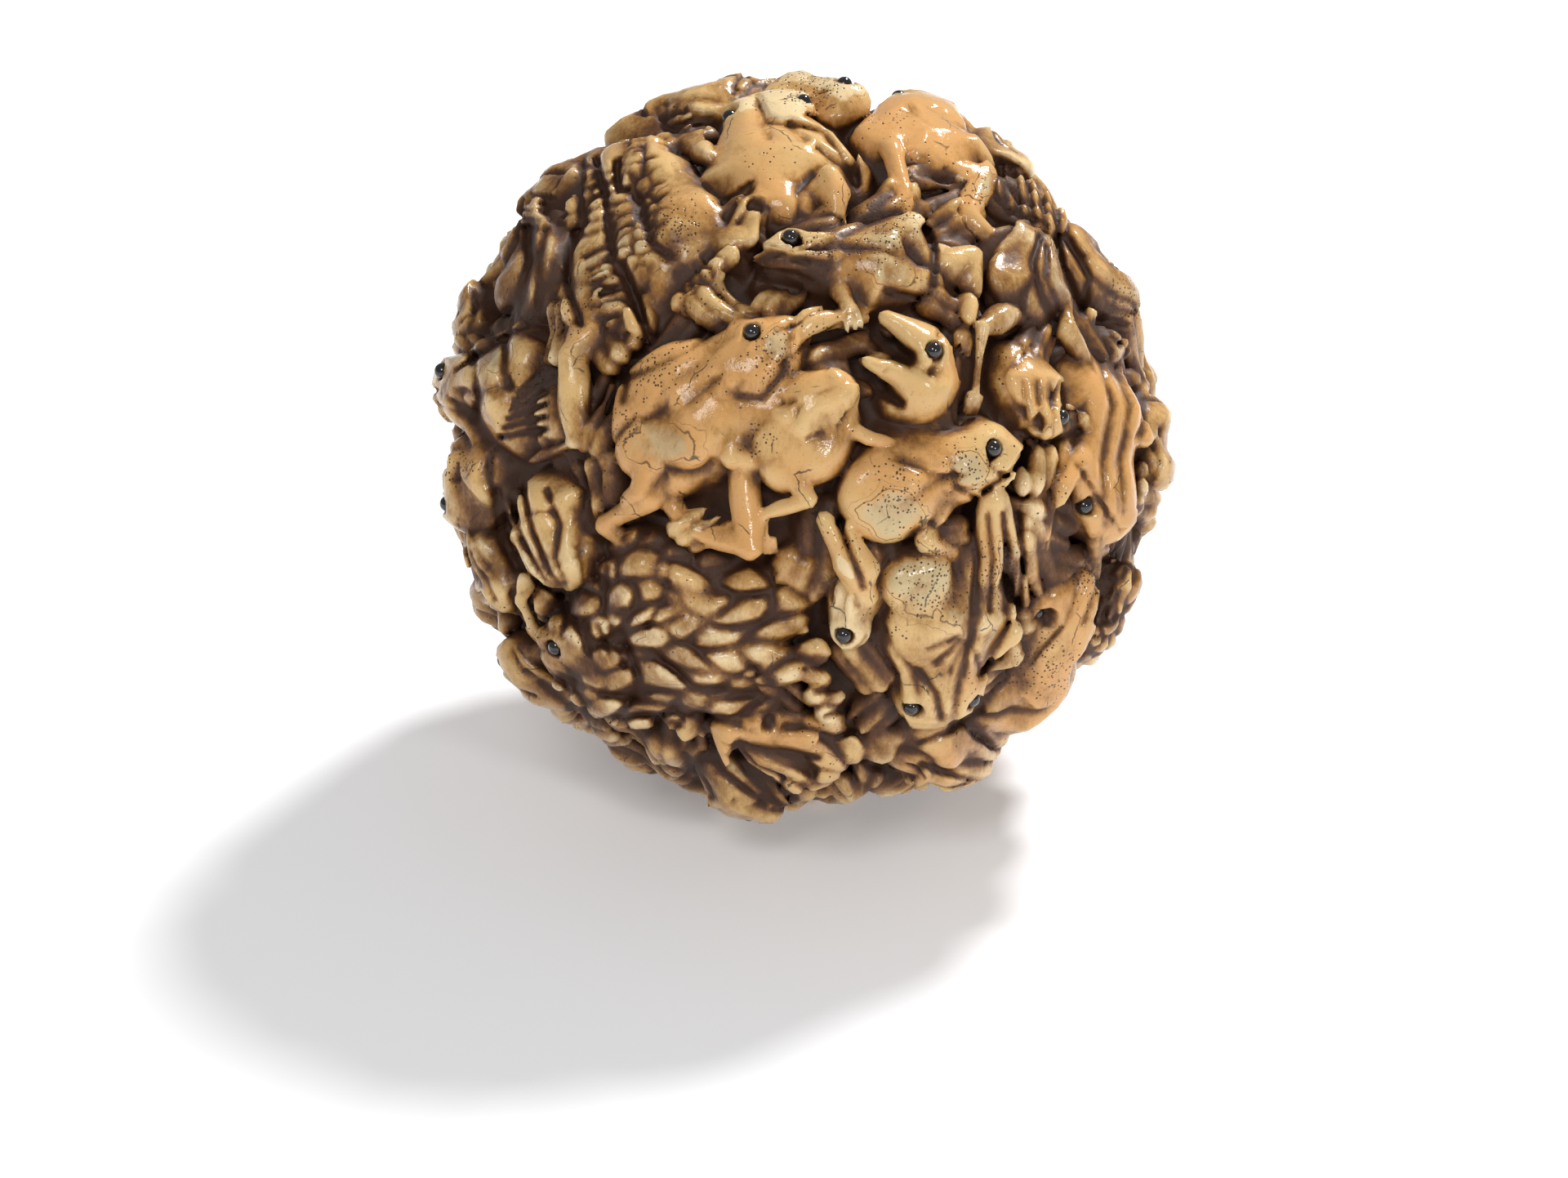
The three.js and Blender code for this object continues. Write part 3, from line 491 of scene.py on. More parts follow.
def limb(c, spine, field, points, leg, side):
    root_at, root_wide, root_deep = LIMB_ROOTS[leg["kind"]]
    if "places" in leg:
        joints = [unit(place_on(p, c["side"])) * (GROUND_RADIUS + h)
                  for p, h in zip(leg["places"], LIMB_HEIGHTS[leg["kind"]])]
        near = [np.linalg.norm(spine.point(root_at, s * 0.2) - joints[0]) for s in (1, -1)]
        side = 1 if near[0] < near[1] else -1
    else:
        joints = [spine.point(at, side * wide, deep) for at, wide, deep in leg["at"]]
        heights = [np.clip(np.linalg.norm(j), GROUND_RADIUS + 2, GROUND_RADIUS + 4) for j in joints]
        joints = [unit(j) * height for j, height in zip(joints, heights)]
    root = spine.point(root_at, side * root_wide, root_deep)
    joints.insert(0, unit(root) * max(np.linalg.norm(root), GROUND_RADIUS + 3))
    size = min(spine.length, 19) * math.sqrt(c["girth"])
    radii = [r * size for r in LIMB_RADII[leg["kind"]]]
    for i in range(len(joints) - 1):
        cone(field, points, joints[i], joints[i + 1], radii[i], radii[i + 1], 0.22)
    if leg["toes"]:
        end = joints[-1]
        out = unit(end)
        ahead = joints[-1] - joints[-2]
        ahead = unit(ahead - out * (ahead @ out))
        beside = np.cross(out, ahead)
        for i in range(leg["toes"]):
            turn = (i - (leg["toes"] - 1) / 2) * TOE_SPREAD
            tip = end + (ahead * math.cos(turn) + beside * math.sin(turn)) * 0.115 * size - out * 0.4
            cone(field, points, end + beside * math.sin(turn) * 1.2, tip, 0.46, 0.3, 0.12)


EYE_RADIUS = 0.6
SOCKET_GAP = 0.05
EMPTY_SOCKET_RADIUS = 0.5
SOCKET_STEPS = (0, 0.6, 1.2, 1.8)
BROW_SINK = 1.05
BROW_RADII = (1.3, 1.5)
LOST_EYES = ("hollow_eyed_eye_left", "blind_eye_right", "facing_eye_right", "grooved_eye_right")
EYE_AT = (0.77, 0.18, 0.155, 1.25)


def eye_place(c, spine, which):
    """An eye's middle: where the part has its bead, or on the brow's corner."""
    name = f"{c['name']}_eye_{which}"
    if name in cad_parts:
        low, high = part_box(name)
        return np.array((low + high) / 2) * 1000 - np.array((0, 0, MIDDLE_HEIGHT))
    side = 1 if which == "left" else -1
    at, wide, deep, brow = EYE_AT
    top = spine.point(at, side * math.sin(math.pi / 4) * wide * brow, math.cos(math.pi / 4) * deep * brow)
    return top + 0.1 * unit(spine.point(at) - top)


SWELL_DEPTH = 3.4
BODY_MARGIN = 0.42


def carve(index, c):
    """Cuts one creature out of the block."""
    spine = Spine(c)
    spots = [spine.point(at) for at in (0, 0.25, 0.5, 0.75, 1)]
    for leg in c["limbs"]:
        spots += [place_on(p, c["side"]) for p in leg.get("places", ())]
    spots = np.array(spots)
    margin = BODY_MARGIN * spine.length * c["girth"]
    low = np.searchsorted(ticks, spots.min(0) - margin)
    high = np.searchsorted(ticks, spots.max(0) + margin)
    window = tuple(slice(a, b) for a, b in zip(low, high))
    gx, gy, gz = np.meshgrid(*(ticks[w] for w in window), indexing="ij")
    points = np.stack([gx.ravel(), gy.ravel(), gz.ravel()], 1)
    reach = np.linalg.norm(points, axis=1)
    keep = np.flatnonzero((reach > GROUND_RADIUS - 1.5) & (reach < OUTER_RADIUS + 0.6))
    points = points[keep]
    field, relief = torso(c, spine, points, index)
    for x, y, radius, drop in c["swells"]:
        out = unit(place_on((x, y), c["side"]))
        foot = GROUND_RADIUS + RELIEF_HEIGHT - SWELL_DEPTH - drop
        above = np.maximum(points @ out - foot, 0) / SWELL_DEPTH
        beside = np.linalg.norm(np.cross(points, out), axis=1) / radius
        d = ((above**3 + beside**3) ** (1 / 3) - 1) * min(radius, SWELL_DEPTH)
        field = blend(field, d.astype(np.float32), 0.6)
    body = field
    for leg in c["limbs"]:
        if "places" in leg:
            limb(c, spine, field, points, leg, 0)
        elif abs(c["roll"]) > math.radians(40):
            limb(c, spine, field, points, leg, -np.sign(c["roll"]))
        elif leg["kind"] == "hind":
            limb(c, spine, field, points, leg, 1)
            limb(c, spine, field, points, leg, -1)
    if c["skin"] not in ("warty", "ridged", "netted"):
        relief = np.where(field < body - 0.03, 0, relief)
    for ax, ay, ah, ar, bx, by, bh, br in c["bars"]:
        start = place_on((ax, ay), c["side"], ah)
        end = place_on((bx, by), c["side"], bh)
        cone(field, points, start, end, ar, br, 0.4)
    plain = 0.7 if c["tone"][0] < 0.1 and c["skin"] == "smooth" else 1
    relief = plain * relief
    field = field + relief + plain * chisel(points, index)
    for which in c["eyes"]:
        eye = eye_place(c, spine, which)
        core = spine.point(EYE_AT[0]) if c["mouth"] else 0.92 * eye
        cone(field, points, eye + BROW_SINK * unit(core - eye), core, *BROW_RADII, 0.7)
        apart = np.linalg.norm(points - eye, axis=1)
        field -= (0.12 * np.exp(-(((apart - 0.86) / 0.2) ** 2))).astype(np.float32)
        lost = f"{c['name']}_eye_{which}" in LOST_EYES
        hole = EMPTY_SOCKET_RADIUS if lost else EYE_RADIUS + SOCKET_GAP
        for step in SOCKET_STEPS:
            outward = np.linalg.norm(points - eye - step * unit(eye), axis=1)
            field = np.maximum(field, hole + 0.2 * step - outward).astype(np.float32)
        # Round the bead the groove is deepest, so the stain paints a ring of shade in the socket's gap.
        relief = np.where(apart < 1.5, 0.5 * np.exp(-(((apart - 0.65) / 0.2) ** 2)), relief)
    flat = np.full(gx.size, 9, np.float32)
    flat[keep] = field
    flat = flat.reshape(gx.shape)
    nearer = flat < block[window]
    block[window] = np.where(nearer, flat, block[window])
    owner[window] = np.where(nearer, index, owner[window])
    flat = np.zeros(gx.size, np.float32)
    flat[keep] = relief
    groove[window] = np.where(nearer, flat.reshape(gx.shape), groove[window])


CREATURES = FRONT + BACK
for index, c in enumerate(CREATURES, 1):
    carve(index, c)

# Between and under them lies a tangle of further limbs, rumps and folds, in half shadow.
UNDER_COUNT = 560
UNDER_SIZES = (0.7, 1.15)
UNDER_LENGTHS = (1.2, 2.6)
UNDER_HEIGHTS = (3.1, 4.3)
UNDER_CHISEL = 1.8
GOLDEN_TURN = math.pi * (3 - math.sqrt(5))
rng = np.random.default_rng(3)
for i in range(UNDER_COUNT):
    level = 1 - (2 * i + 1) / UNDER_COUNT
    across = math.sqrt(1 - level * level)
    out = unit(np.array((across * math.cos(i * GOLDEN_TURN), across * math.sin(i * GOLDEN_TURN), level)))
    way = unit(np.cross(out, rng.normal(size=3)))
    beside = np.cross(out, way)
    size = rng.uniform(*UNDER_SIZES)
    reach = rng.uniform(*UNDER_LENGTHS)
    top = GROUND_RADIUS + rng.uniform(*UNDER_HEIGHTS)
    if block[tuple(np.searchsorted(ticks, out * (top - 0.2)))] < 0:
        continue
    for step in (-1, 0, 1):
        spot = unit(out * top + 1.25 * step * size * beside) * (top - size - 0.25 * abs(step))
        low, high = (np.searchsorted(ticks, spot + sign * (reach + size + 0.4)) for sign in (-1, 1))
        window = tuple(slice(a, b) for a, b in zip(low, high))
        near = np.stack(np.meshgrid(*(ticks[w] for w in window), indexing="ij"), -1).reshape(-1, 3)
        bar = np.full(len(near), 9, np.float32)
        cone(bar, near, spot - way * reach - 0.4 * out, spot + way * reach, 0.7 * size, size, 0.1)
        bar = bar.reshape(block[window].shape)
        nearer = bar < block[window]
        block[window] = np.where(nearer, bar, block[window])
        owner[window] = np.where(nearer, 0, owner[window])
        groove[window] = np.where(nearer, 0, groove[window])

surface = np.flatnonzero((np.abs(block) < 1.3) & (owner == 0))
i, j, k = np.unravel_index(surface, block.shape)
block.reshape(-1)[surface] += UNDER_CHISEL * chisel(np.stack([ticks[i], ticks[j], ticks[k]], 1), 99)

# Strokes of the graver: folds, ribs and mouths cut into the skin, each a line in the front's view.
FACING = (3, 10)
surface = np.flatnonzero(np.abs(block) < 1.3)
i, j, k = np.unravel_index(surface, block.shape)
seen_ahead = FRONT_WAY[1] * ticks[j] + FRONT_WAY[2] * ticks[k]
seen = seen_ahead > FACING[0]
surface, i, j, k = surface[seen], i[seen], j[seen], k[seen]
facing = ramp(seen_ahead[seen], *FACING)
seen_right = ticks[i]
seen_up = TOP_WAY[1] * ticks[j] + TOP_WAY[2] * ticks[k]
flat_block = block.reshape(-1)
flat_groove = groove.reshape(-1)


def score(deep, wide, *line):
    """Cuts a line of this depth and width along the points, or raises it where the depth is negative."""
    margin = 2.5 * wide
    line = np.array(line)
    box = ((seen_right > line[:, 0].min() - margin) & (seen_right < line[:, 0].max() + margin)
           & (seen_up > line[:, 1].min() - margin) & (seen_up < line[:, 1].max() + margin))
    chosen = np.flatnonzero(box)
    spots = np.stack([seen_right[chosen], seen_up[chosen]], 1)
    nearest = np.full(len(chosen), 9.0)
    for start, end in zip(line, line[1:]):
        way = end - start
        t = np.clip((spots - start) @ way / (way @ way), 0, 1)
        nearest = np.minimum(nearest, np.linalg.norm(spots - start - t[:, None] * way, axis=1))
    cut = (facing[chosen] * deep * np.exp(-((nearest / wide) ** 2))).astype(np.float32)
    flat_block[surface[chosen]] += cut
    # The groove darkens the stain along the cut: painted shade in the line.
    flat_groove[surface[chosen]] += 0.8 * cut


def fan(x, y, reach, first, last, count, deep, wide, start=0.25):
    """Cuts ribs that spread from one place, between two directions in degrees."""
    for step in range(count):
        turn = math.radians(first + (last - first) * step / max(count - 1, 1))
        near, far = (reach * share for share in (start, 1))
        score(deep, wide, (x + near * math.cos(turn), y + near * math.sin(turn)),
              (x + far * math.cos(turn), y + far * math.sin(turn)))


# The shaded throat and breast of the backward one.
score(0.8, 1.1, (-3.0, 12.8), (-1.2, 12.0), (1.2, 12.3))
score(0.7, 0.5, (-2.6, 11.4), (-0.4, 11.0))

# The ridged toad at the upper left: rows of knobs on two ridges, with a deep valley between them.
score(0.7, 0.34, (-14.8, 20.6), (-14.0, 18.2), (-13.7, 15.7), (-13.2, 13.4), (-12.1, 11.3), (-10.7, 7.8))
score(0.7, 0.35, (-15.8, 20.3), (-15.8, 18.2), (-15.6, 16.1), (-16.5, 14), (-16.4, 11.2), (-15.5, 8.7))
score(0.7, 0.35, (-13.2, 20.3), (-13, 18.5), (-11.4, 17.5), (-11.2, 16.8), (-10.6, 14.3), (-9.3, 13.4))
score(0.6, 0.3, (-12.5, 12.9), (-11.2, 9))
for step in range(7):
    score(0.35, 0.22, (-15.4, 20.1 - 0.85 * step), (-14.5, 20.4 - 0.85 * step))
    score(0.3, 0.22, (-13.9, 19.6 - 0.85 * step), (-13.1, 19.9 - 0.85 * step))
for step in range(4):
    score(0.4, 0.22, (-15.3 + 0.4 * step, 13.4 - 0.9 * step), (-14 + 0.5 * step, 14.1 - 0.9 * step))
    score(0.25, 0.2, (-8.9 + 0.65 * step, 12.2 + 0.4 * step), (-8.2 + 0.65 * step, 10.8 + 0.4 * step))
# The shelled one and the frog beside it: hollow flanks between thin folds, and a ribbed web.
score(0.8, 0.5, (-19.5, 15.7), (-19.3, 13.1), (-20, 10.4), (-21.3, 9))
score(0.7, 0.5, (-21.8, 13.1), (-22.9, 11.3), (-22.5, 9.5))
score(0.6, 0.3, (-20.6, 16.8), (-21.6, 14.8), (-23.2, 12.6), (-23.9, 10.2))
score(0.7, 0.35, (-18.3, 15.5), (-18.6, 12.5), (-18.7, 10))
for step in range(5):
    score(0.4, 0.22, (-20.6 + 0.3 * step, 16 + 0.55 * step), (-19 + 0.3 * step, 15.7 + 0.55 * step))
score(0.6, 0.3, (-23.5, 6.6), (-22.9, 3.4), (-23.4, 2))
score(0.6, 0.3, (-21, 7.8), (-21.1, 5.5), (-20.6, 4.3))
score(0.5, 0.28, (-25.5, 5), (-23.6, 6.2), (-21.2, 7.9), (-19.6, 8.6))
for step in range(6):
    score(0.6, 0.22, (-18, 5.6 - 0.85 * step), (-20 - 0.25 * step, 3.9 - 0.62 * step))
# The clasping one's ribbed hand, the arc of its back and the leaf-shaped head below it.
score(0.6, 0.3, (-12.1, 23.8), (-10.2, 24.9), (-7.7, 25.2), (-6, 25))
fan(-9.7, 22.3, 2.5, 20, 110, 6, 0.55, 0.22)
score(0.4, 0.22, (-5.5, 17.1), (-3.5, 18.7))
score(0.4, 0.22, (-5.3, 16.1), (-3.5, 18.2))
score(0.4, 0.22, (-4.4, 15.7), (-3.4, 17.5))
# The smooth one: long folds down its right side and one behind its head.
score(0.7, 0.3, (-0.8, 23), (1.4, 22.4), (2.9, 20.5), (3.9, 18.7))
score(0.7, 0.3, (1.1, 21.1), (2.8, 19.8), (3.7, 18.5))
score(0.6, 0.28, (0.3, 23.7), (2.4, 22.6), (3.7, 20.5), (3.9, 19.2))
score(0.5, 0.3, (-3.2, 24.9), (-2.5, 23.1), (-1.1, 22.8), (0.3, 21.7))
# The crowned one: flat planes that meet in an edge down its back.
score(-0.4, 0.5, (8.2, 24.8), (8.9, 22), (8, 21.1))
score(-0.35, 0.45, (6.2, 24.1), (8.6, 25.3), (10.5, 24.6), (12.3, 23), (13.2, 20.8))
# The folded hands and pleats at the upper right.
for step in range(5):
    score(0.6, 0.28, (14.2 + 0.95 * step, 20.6 - 0.5 * step), (14.5 + 0.95 * step, 17.6 - 0.75 * step))
score(0.6, 0.28, (16.8, 14.9), (16.2, 13), (16.8, 10.8), (17.7, 9.1))
score(0.7, 0.32, (18.1, 15.1), (18.5, 13), (19.8, 10))
score(0.6, 0.3, (19, 14.9), (20.5, 12.1), (20, 9.7))
score(0.4, 0.22, (17.3, 14.2), (17.2, 12), (18.2, 9.6))
fan(20.6, 9.4, 2.8, -60, -10, 4, 0.6, 0.26)
# The one that looks this way: grooves down its forehead, and its mouth.
for x, bottom in ((15.4, 1.2), (16.4, 0.9), (17.3, 1.2), (18.2, 1.4)):
    score(0.32, 0.22, (x, 4.6), (x + 0.3, bottom))
score(0.5, 0.24, (15.3, 1.1), (17, 0.3), (19.6, 1.2))
# The backward one: the line where its back meets its flank, and the folds before its thigh.
score(0.35, 0.28, (-0.5, 14.2), (2.6, 14.5), (5, 15.9), (6.9, 16.5))
score(0.55, 0.3, (8.6, 15.3), (9.3, 13.8), (9.1, 11.5))
score(0.4, 0.26, (-4, 13.8), (-2, 13.6), (0.3, 12.9))
# The leaping and calling ones: the edge of the back, the throat's fold and the open mouth.
score(0.3, 0.3, (-12.4, 3.2), (-12.1, 4.8), (-10.2, 5.6), (-7.9, 6.6), (-5.4, 8.4))
score(0.4, 0.28, (-4.4, 3.6), (-2.8, 3.4), (-1.3, 5.2), (-0.7, 8.7))
score(1.2, 0.5, (5.2, 7.6), (7.4, 6.3))
score(0.9, 0.4, (3.6, 5.6), (6.8, 3.1))
score(0.3, 0.26, (8.9, 5.2), (9.6, 6.4), (9.4, 7.8))
# The resting one: its mouth, its cheek pouch, and the leaf-shaped hind leg with a slit.
score(0.45, 0.25, (16.2, 0.2), (14.6, -1.6), (12.6, -3))
score(0.4, 0.22, (13.2, 0.3), (13, -1.3), (14.2, -2))
score(0.35, 0.22, (10.4, -1), (10.6, -2.6), (12, -3.4))
score(0.7, 0.3, (2.6, -5.2), (3.6, -8), (4.2, -9.6))
# The diving one: folds from its thighs down its back, and the creases of its head.
for x in (11.8, 12.9, 14, 15.1):
    score(0.5, 0.24, (x, -4.6), (x + 0.4, -7.6), (x + 0.2, -11.4))
score(0.35, 0.3, (12.4, -11.5), (11.2, -15), (10.6, -20))
score(0.5, 0.3, (14.9, -8), (14.4, -12.6), (12.6, -16))
score(0.45, 0.28, (8.2, -15.6), (9.4, -17.2), (9.8, -19))
score(0.5, 0.25, (8.3, -21), (10.4, -20.2), (12.8, -18.6))
fan(11.6, -13, 3, 200, 290, 5, 0.3, 0.22)
# The rearing one's grooved head and the ribbed hand beside it.
for step in range(4):
    score(0.5, 0.25, (20 + 0.8 * step, -12.4), (21 + 0.55 * step, -9.6 - 0.3 * step))
fan(24.2, -7.2, 2.4, 195, 285, 5, 0.5, 0.24)
# The long one at the right: wavy folds that run its whole length.
for step in range(3):
    x = 21 + 1.3 * step
    score(0.4, 0.36, (x, 6.6 - step), (x + 1, 3), (x + 0.2, -1), (x + 0.5, -5.4 + 0.6 * step))
score(0.4, 0.22, (19.4, -1.2), (21.6, -4.6), (22.6, -5.8))
# The warty toad: valleys that part its rows of warts, and its mouth.
score(0.6, 0.35, (-18.4, -15.6), (-14, -17.4), (-9, -18.2), (-4.5, -19.5))
score(0.6, 0.35, (-13.8, -13.8), (-10.5, -14.2), (-7.6, -16.6), (-3.4, -17.2))
score(0.4, 0.26, (-13.6, -8.4), (-13.9, -11.6), (-12.2, -14))
score(0.5, 0.28, (-9.2, -8.2), (-9.6, -10.6), (-10.8, -12.4))
score(0.5, 0.25, (-18.8, -16.8), (-16.4, -19), (-12.8, -20.6))
for step in range(5):
    score(0.5, 0.25, (-16 + 0.85 * step, -12.2 - 0.15 * step), (-15 + 0.85 * step, -14.4 - 0.3 * step))
# The folded one at the left, with deep folds down its side.
score(0.6, 0.25, (-21.6, -3), (-20.9, -6.2), (-19.6, -8.8), (-17.1, -10.6))
score(0.6, 0.25, (-20.7, -3.6), (-19.8, -6.2), (-18.3, -9), (-16.9, -10.3))
score(0.6, 0.25, (-19.6, -2.8), (-19, -5.8), (-17.7, -8.8), (-16.8, -9.9))
score(0.45, 0.25, (-17.9, -3), (-17, -5.4), (-17.3, -7.7), (-16.6, -9.5))
score(0.4, 0.26, (-21.9, -3.4), (-21.6, -6.4), (-20.4, -8.6))
score(0.5, 0.25, (-24.2, -6.6), (-23.4, -9), (-22, -10.8))
score(0.5, 0.3, (-24.8, -7.6), (-24, -10.6), (-22, -12.6))
score(0.4, 0.25, (-23.8, -9), (-22.2, -11.8))
# The hiding one's forearm, and the folds and ribs at the front's foot.
fan(-6.2, -20.4, 7.5, -50, -12, 5, 0.65, 0.36)
score(0.6, 0.3, (-6.6, -20.3), (-5.9, -23), (-3.4, -25), (-1, -26))
score(0.4, 0.26, (-1.5, -21.6), (1.2, -22.8), (3, -23.2))
score(0.7, 0.26, (8.6, -22.6), (11.6, -23.8), (14, -24.4))
score(0.5, 0.24, (4.8, -22.8), (6.6, -23.6), (8.2, -23.6))
fan(4.2, -26.4, 3.6, 20, 100, 4, 0.5, 0.3)
score(0.4, 0.26, (-12.6, -23.2), (-8.8, -24.6), (-6.4, -25.2))
for step in range(4):
    score(0.5, 0.25, (0.2 + 0.75 * step, -15.4 - 1.7 * step), (1.9 + 0.6 * step, -15.2 - 1.6 * step))

# The floor of the hollows, where the creatures grow out of the ball, and the worn flat under the lowest
# toad, on which the ball stands.
STANDS_OUT = 0.45
block = np.maximum(block, distance - OUTER_RADIUS - STANDS_OUT)
distance -= GROUND_RADIUS + FLOOR_RISE
block = blend(block, distance, 1.0)
block = np.maximum(block, -MIDDLE_HEIGHT - ticks[None, None, :])


# The carved surface: the mesh that the cells enclose, made lighter where it is flattest.
CARVED_TRIANGLES = 196000


def enclose(field):
    """The surface where the field changes sign, as points in cells and four-sided faces."""
    inside = field < 0
    total = np.zeros(tuple(n - 1 for n in field.shape), np.uint8)
    corners = [(i, j, k) for i in (0, 1) for j in (0, 1) for k in (0, 1)]
    for i, j, k in corners:
        total += inside[i:i + total.shape[0], j:j + total.shape[1], k:k + total.shape[2]]
    active = (total > 0) & (total < 8)
    cells = np.argwhere(active)
    number = np.full(active.shape, -1, np.int32)
    number[active] = np.arange(len(cells))
    values = {corner: field[tuple((cells + corner).T)] for corner in corners}
    place = np.zeros((len(cells), 3), np.float32)
    crossings = np.zeros(len(cells), np.float32)
    for a in corners:
        for axis in range(3):
            if a[axis]:
                continue
            b = tuple(1 if i == axis else a[i] for i in range(3))
            va, vb = values[a], values[b]
            cut = (va < 0) != (vb < 0)
            t = np.where(cut, va / np.where(cut, va - vb, 1), 0)
            for i in range(3):
                place[:, i] += np.where(cut, a[i] + (t if i == axis else 0), 0)
            crossings += cut
    place = cells + place / crossings[:, None]
    faces = []
    for axis in range(3):
        here = [slice(1, -1)] * 3
        there = list(here)
        here[axis] = slice(0, -1)
        there[axis] = slice(1, None)
        first, second = inside[tuple(here)], inside[tuple(there)]
        u, v = np.eye(3, dtype=int)[(axis + 1) % 3], np.eye(3, dtype=int)[(axis + 2) % 3]
        shift = np.ones(3, int)
        shift[axis] = 0
        for change, order in ((first & ~second, 1), (~first & second, -1)):
            edge = np.argwhere(change) + shift
            ring = [edge - u - v, edge - v, edge, edge - u][::order]
            faces.append(np.stack([number[tuple(r.T)] for r in ring], 1))
    return place, np.concatenate(faces)


def largest_body(count, faces):
    """Which points belong to the same body as most of them."""
    label = np.arange(count)
    pairs = np.concatenate([faces[:, (0, 1)], faces[:, (1, 2)], faces[:, (2, 3)]])
    while True:
        lowest = np.minimum(label[pairs[:, 0]], label[pairs[:, 1]])
        fresh = label.copy()
        np.minimum.at(fresh, pairs[:, 0], lowest)
        np.minimum.at(fresh, pairs[:, 1], lowest)
        fresh = fresh[fresh]
        if np.array_equal(fresh, label):
            break
        label = fresh
    names, sizes = np.unique(label, return_counts=True)
    return label == names[np.argmax(sizes)]


place, faces = enclose(block)
kept = largest_body(len(place), faces)
faces = faces[kept[faces[:, 0]]]
used, faces = np.unique(faces, return_inverse=True)
faces = faces.reshape(-1, 4)
points = ticks[0] + place[used] * CELL
mesh = bpy.data.meshes.new("carved_ivory")
mesh.vertices.add(len(points))
mesh.vertices.foreach_set("co", ((points + (0, 0, MIDDLE_HEIGHT)) * 0.001).astype(np.float32).ravel())
mesh.loops.add(faces.size)
mesh.loops.foreach_set("vertex_index", faces.ravel().astype(np.int32))
mesh.polygons.add(len(faces))
mesh.polygons.foreach_set("loop_start", np.arange(0, faces.size, 4, dtype=np.int32))
mesh.update()
mesh.validate()
ball = bpy.data.objects.new("carved_ivory", mesh)
bpy.context.scene.collection.objects.link(ball)

lighter = ball.modifiers.new("lighter", "DECIMATE")
lighter.ratio = CARVED_TRIANGLES / (2 * len(faces))
lighter.use_collapse_triangulate = True
depsgraph = bpy.context.evaluated_depsgraph_get()
light_mesh = bpy.data.meshes.new_from_object(ball.evaluated_get(depsgraph))
ball.modifiers.clear()
ball.data = light_mesh
light_mesh.shade_smooth()


# What the stain, the shade painted with it and the polish go by: how hollow the surface is close by and
# further off, from the share of ivory around each point, how deep it lies, and which creature it belongs
# to.
def box_blur(values, radius):
    for axis in range(3):
        total = np.cumsum(values, axis=axis, dtype=np.float32)
        ahead = np.roll(total, -radius, axis)
        behind = np.roll(total, radius + 1, axis)
        values = (ahead - behind) / (2 * radius + 1)
    return values


def sample(grid, spots):
    """The values of a grid between its cells."""
    low = np.minimum(np.floor(spots).astype(int), min(grid.shape) - 2)
    t = (spots - low).astype(np.float32)
    total = np.zeros(len(spots), np.float32)
    for i in (0, 1):
        for j in (0, 1):
            for k in (0, 1):
                share = (np.abs(1 - i - t[:, 0]) * np.abs(1 - j - t[:, 1]) * np.abs(1 - k - t[:, 2]))
                total += share * grid[low[:, 0] + i, low[:, 1] + j, low[:, 2] + k]
    return total


co = np.zeros(len(light_mesh.vertices) * 3, np.float32)
light_mesh.vertices.foreach_get("co", co)
co = co.reshape(-1, 3) * 1000 - (0, 0, MIDDLE_HEIGHT)
filled = np.clip(0.5 - block[::2, ::2, ::2] / (2 * CELL), 0, 1)
spots = (co - ticks[0]) / (2 * CELL)
near_hollow = sample(box_blur(box_blur(filled, 1), 1), spots) - 0.5
far_hollow = sample(box_blur(box_blur(filled, 4), 4), spots) - 0.5
cells = np.rint((co - ticks[0]) / CELL).astype(int)
whose = owner[cells[:, 0], cells[:, 1], cells[:, 2]]
height = np.linalg.norm(co, axis=1) - GROUND_RADIUS


def set_attribute(name, values):
    layer = light_mesh.attributes.new(name, "FLOAT", "POINT")
    layer.data.foreach_set("value", values.astype(np.float32))


cut = groove[cells[:, 0], cells[:, 1], cells[:, 2]]
# The stain is the ivory's brown stain and also painted shade: darker in the hollows, lower down, in the
# grooves and the skin's creases, where shade falls, with random patches and each creature's own tone.
stain_and_shade = (2.1 * np.maximum(near_hollow, -0.2) + 2.0 * np.maximum(far_hollow, -0.2)
         + 0.28 * np.maximum(3.6 - height, -0.8) + 1.3 * np.clip(cut, 0, 0.9)
         + 0.22 * ripple(co, 2.6, 5) + 0.15)
# The tangle under the creatures is darker still, as painted shade of the deep hollows, and warmer.
UNDER_TONE = (0.22, 0.35)
darker, warmth = np.array([UNDER_TONE, *(c["tone"] for c in CREATURES)]).T
stain_and_shade += darker[whose]
set_attribute("stain_and_shade", stain_and_shade)
set_attribute("warmth", warmth[whose] + 0.3 * ripple(co, 8.0, 6) + 1.6 * near_hollow)

# The tide marks: grey-green patches on the highest spots, where the polish wore through the outer layer of
# the tusk. Each is a spot in the front's view, with its reach across and up, in millimetres.
TIDE_MARKS = (
    (-14.2, 11.9, 1.7, 2.1), (-12.1, 14.9, 2.3, 1.6), (-9.7, 0.4, 2.4, 1.4), (-1.6, 7.4, 1.0, 1.3),
    (11.6, -1.6, 1.4, 1.3), (6.2, -4.6, 2.2, 1.7), (6.2, 13.5, 2.0, 2.4), (-21.8, 6.9, 1.5, 1.2),
    (-6.3, 8.3, 1.0, 1.3), (-14.8, 6.8, 1.7, 0.8), (8.3, -9.1, 2.3, 2.6), (11.0, -10.3, 1.3, 2.6),
    (14.5, -8.5, 1.0, 2.4), (-12.8, -13.0, 1.4, 2.2), (18.4, 11.9, 1.2, 2.2), (-21.4, -6.1, 0.7, 1.6),
    (13.1, 18.7, 0.7, 1.0), (-8.6, -17.5, 1.6, 1.2),
)
